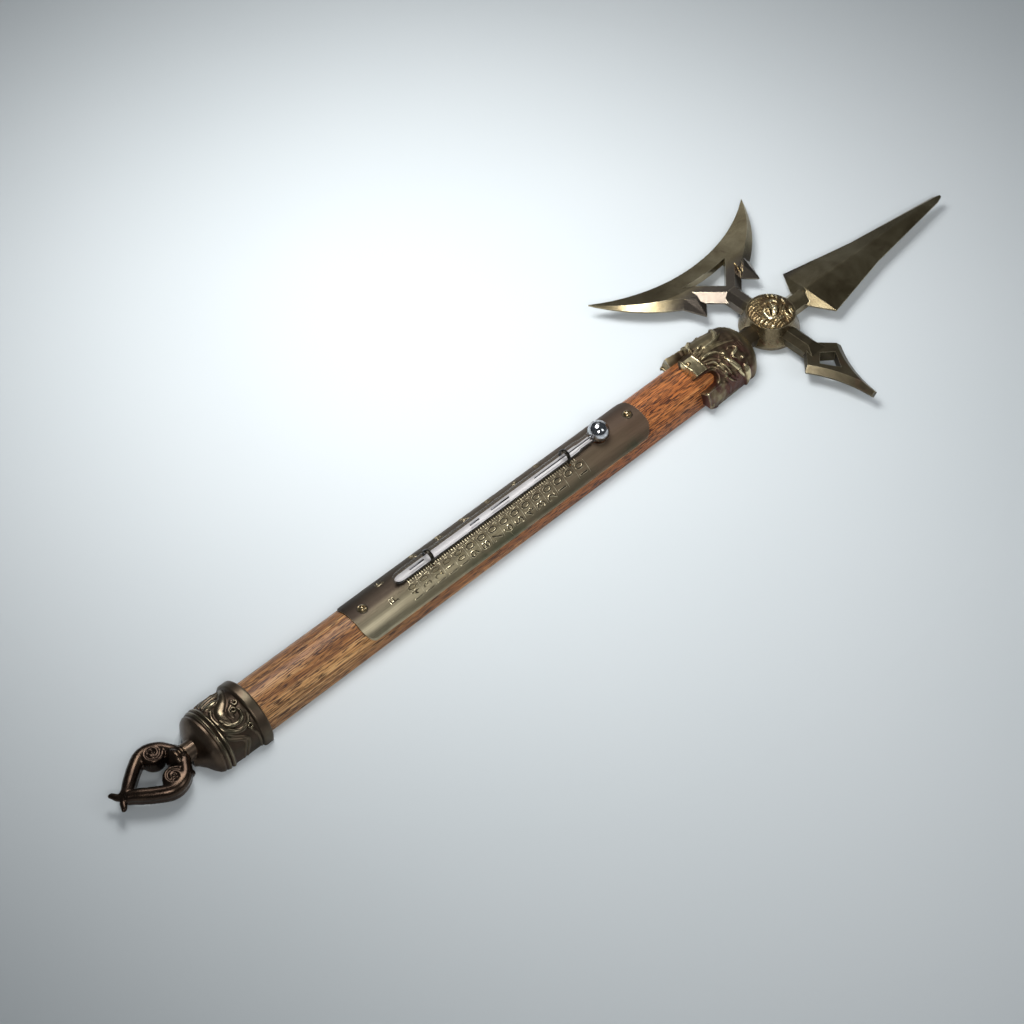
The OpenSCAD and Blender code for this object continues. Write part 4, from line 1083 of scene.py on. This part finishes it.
MEDAL_LOCKS = (
    # mane and face of the lion mask: points, width, height
    (((-8.3, 9.0), (-8.0, 7.6), (-8.2, 6.2)), 1.15, 1.5),
    (((-6.2, 8.8), (-6.1, 7.2), (-6.3, 5.8)), 0.75, 1.1),
    (((-4.6, 10.6), (-4.7, 8.6), (-4.9, 6.6)), 1.05, 1.35),
    (((-2.3, 11.4), (-2.5, 9.4), (-2.7, 7.0)), 0.95, 1.5),
    (((0, 11.2), (-0.2, 9.0), (-0.5, 6.6)), 0.95, 1.2),
    (((1.9, 11), (1.6, 9.0), (1.3, 6.4)), 0.8, 0.9),
    (((3.4, 10.4), (4, 8.4), (4.3, 5.8), (3.7, 3.6)), 0.9, 1.05),
    (((5.8, 9.2), (6.3, 7.0), (6.4, 4.4), (5.6, 1.6)), 1.05, 0.95),
    (((8.0, 7.6), (8.4, 5.0), (8.1, 2.2), (6.8, -0.4)), 1.15, 0.85),
    (((10, 4.6), (10.1, 1.6), (9.4, -1.4), (8.2, -3.4)), 1.15, 0.85),
    (((-10.7, 4.0), (-10.4, 2.2), (-10.5, 0.2)), 0.85, 1.0),
    (((-9.3, 5.4), (-9.0, 3.0), (-8.9, 0.8)), 0.7, 1.1),
    (((-7.3, 5.6), (-7.0, 3.0), (-7.1, 0.6), (-8.0, -1.4)), 1.25, 1.2),
    (((-10.6, -0.8), (-9.4, -1.6), (-8.2, -2.6)), 0.85, 0.9),
    (((-10.2, -3.0), (-8.6, -2.9), (-6.4, -3.2), (-4.4, -4.6)), 0.95, 1.2),
    (((-9.6, -4.8), (-8.2, -5.4), (-6.4, -6.2), (-4.4, -8.0)), 0.95, 1.6),
    (((-7.8, -7.6), (-6.2, -8.0), (-4.6, -9.4)), 0.85, 0.9),
    (((-6.2, -0.8), (-5.0, -2.6), (-3.4, -5.0), (-2.2, -7.8)), 0.8, 1.15),
    (((-5.2, 0.0), (-3.8, -2.2), (-2.2, -4.6), (-1.0, -6.6)), 0.7, 1.2),
    (((-1.8, -8.0), (0.3, -8.4), (1.6, -9.6)), 1.0, 1.4),
    (((4.6, 0.6), (4.4, -1.8), (5.0, -4.2)), 1.1, 0.7),
    (((2.8, -7.2), (4.2, -8.0), (5.2, -9.2)), 0.85, 1.5),
    (((4.8, -6.4), (6.2, -7.4), (7.2, -8.2)), 0.95, 1.8),
    (((6.4, -4.8), (7.6, -5.6), (8.6, -6.4)), 0.85, 1.7),
    # brow, muzzle and jaw
    (((-5.4, 2.2), (-4.9, 4.2), (-3.2, 5.6), (-1.0, 5.5), (0.9, 4.4), (1.9, 2.6)), 1.3, 1.75),
    (((-4.1, 3.0), (-2.8, 0.7), (-1.0, -1.0), (1.5, -1.4)), 1.8, 1.85),
    (((2.2, -1.6), (3.1, -3.1), (2.0, -4.7), (0.2, -4.4)), 1.05, 1.6),
)


def medal_height(x, y):
    """The relief of the medallion over its dome."""
    h = np.full(x.shape, 0.25)
    for points, width, height in MEDAL_LOCKS:
        h = rib(h, x, y, points, width * 1.06, height, (0.55, 0.45), 0.5)
    for at, size, height in (((-1.2, 1.4), (4.6, 5.0), 0.95), ((0.9, 3.9), (0.9, 1.1), 2.1),
                             ((0.0, 2.2), (0.8, 0.9), 1.9)):
        h = knob(h, x, y, at, size, height)
    for points, width, depth in (
            (((-3.1, 3.4), (-0.9, 1.8), (2.0, 0.5)), 0.5, 1.4),
            (((-4.9, 1.2), (-2.8, -1.7), (-0.2, -2.9), (1.8, -2.7)), 0.5, 1.2),
            (((-6.1, 1.4), (-4.6, -1.4), (-2.8, -4.2), (-1.6, -6.6)), 0.35, 0.6),
            (((-7.6, -4.4), (-5.4, -4.9), (-3.6, -6.8)), 0.4, 0.7)):
        h = groove(h, x, y, points, width, depth)
    rough = np.sin(2.3 * x + 1.1 * y + 0.8 * np.sin(2.9 * y)) * np.sin(3.1 * y - 1.3 * x)
    return h + 0.1 * rough


def medal_shape(u, v):
    """A shallow dome over a disc, with the relief fading out at the rim."""
    angle = u * math.pi
    radius = v * MEDAL_R
    x, y = radius * np.cos(angle), radius * np.sin(angle)
    rise = 2.2
    ball = ((MEDAL_R + 0.1) ** 2 + rise ** 2) / (2 * rise)
    dome = np.sqrt(ball * ball - radius ** 2) - ball + rise
    height = medal_height(x, y)
    edge = unit((MEDAL_R - radius) / 0.8) ** 0.6
    z = MEDAL_FLOOR + 1.35 + dome + height * (0.35 + 0.65 * edge)
    return np.stack([x, y, z], axis=-1), unit(height / 1.8)


def medallion():
    """The carved disc, with a straight wall down to its seat."""
    bm = carve(400, 110, medal_shape)
    bmesh.ops.remove_doubles(bm, verts=bm.verts, dist=0.002)
    for v in drawn_rim(bm):
        v.co.z = MEDAL_FLOOR
    keep("lion_medallion", bm, GILT, replaces=["medallion"], smooth=70)


medallion()


# ---- floor, light and camera

def floor_sheet():
    """The pale sheet that the object lies on."""
    bm = bmesh.new()
    bmesh.ops.create_grid(bm, x_segments=8, y_segments=8, size=3.0)
    floor = put("floor", to_mesh("floor", bm))
    floor.data.materials.append(FLOOR)
    floor.location.z = -0.0002


def aim_at(thing, aim):
    """Turns a lamp or a camera towards a point."""
    thing.rotation_euler = (Vector(aim) - thing.location).to_track_quat("-Z", "Y").to_euler()


def soft_box(name, at, aim, size, power, cone, colour):
    """A soft box with a honeycomb grid that keeps its light inside a cone, in degrees."""
    light = having(
        bpy.data.lights.new(name, "AREA"), shape="RECTANGLE", size=size[0], size_y=size[1],
        energy=power, spread=math.radians(cone), color=colour)
    aim_at(having(put(name, light), location=at, visible_camera=False), aim)


def studio():
    """Four soft boxes, a dim room and the camera, in metres."""
    middle = Vector((0.004, 0.168, 0))
    soft_box("key_box", (0.175, 0.12, 0.42), (0.13, 0.115, 0), (0.26, 0.26), 0.92, 106,
             (1.0, 1.0, 0.99))
    soft_box("front_box", (-0.52, 0.58, 0.70), (0.0, 0.02, 0), (0.28, 0.28), 0.6, 60,
             (1.0, 0.995, 0.98))
    soft_box("side_box", (0.8, -0.5, 0.72), middle, (0.6, 0.6), 0.6, 180, (0.95, 0.98, 1.0))
    soft_box("right_box", (-0.72, -0.22, 0.72), middle, (0.35, 0.45), 1.4, 180, (0.94, 0.97, 1.0))
    scene = bpy.context.scene
    scene.world = bpy.data.worlds.new("room")
    scene.world.use_nodes = True
    room = scene.world.node_tree.nodes["Background"].inputs
    room["Color"].default_value = (0.72, 0.8, 0.86, 1)
    room["Strength"].default_value = 0.1
    scene.view_settings.view_transform = "Standard"
    lens = bpy.data.cameras.new("camera")
    lens.sensor_width = 36
    focal_pixels, frame_pixels = 2150, 1024
    lens.lens = focal_pixels / frame_pixels * lens.sensor_width
    scene.camera = put("camera", lens)
    scene.camera.location = (-0.442, 0.596, 0.745)
    aim_at(scene.camera, middle)


floor_sheet()
studio()
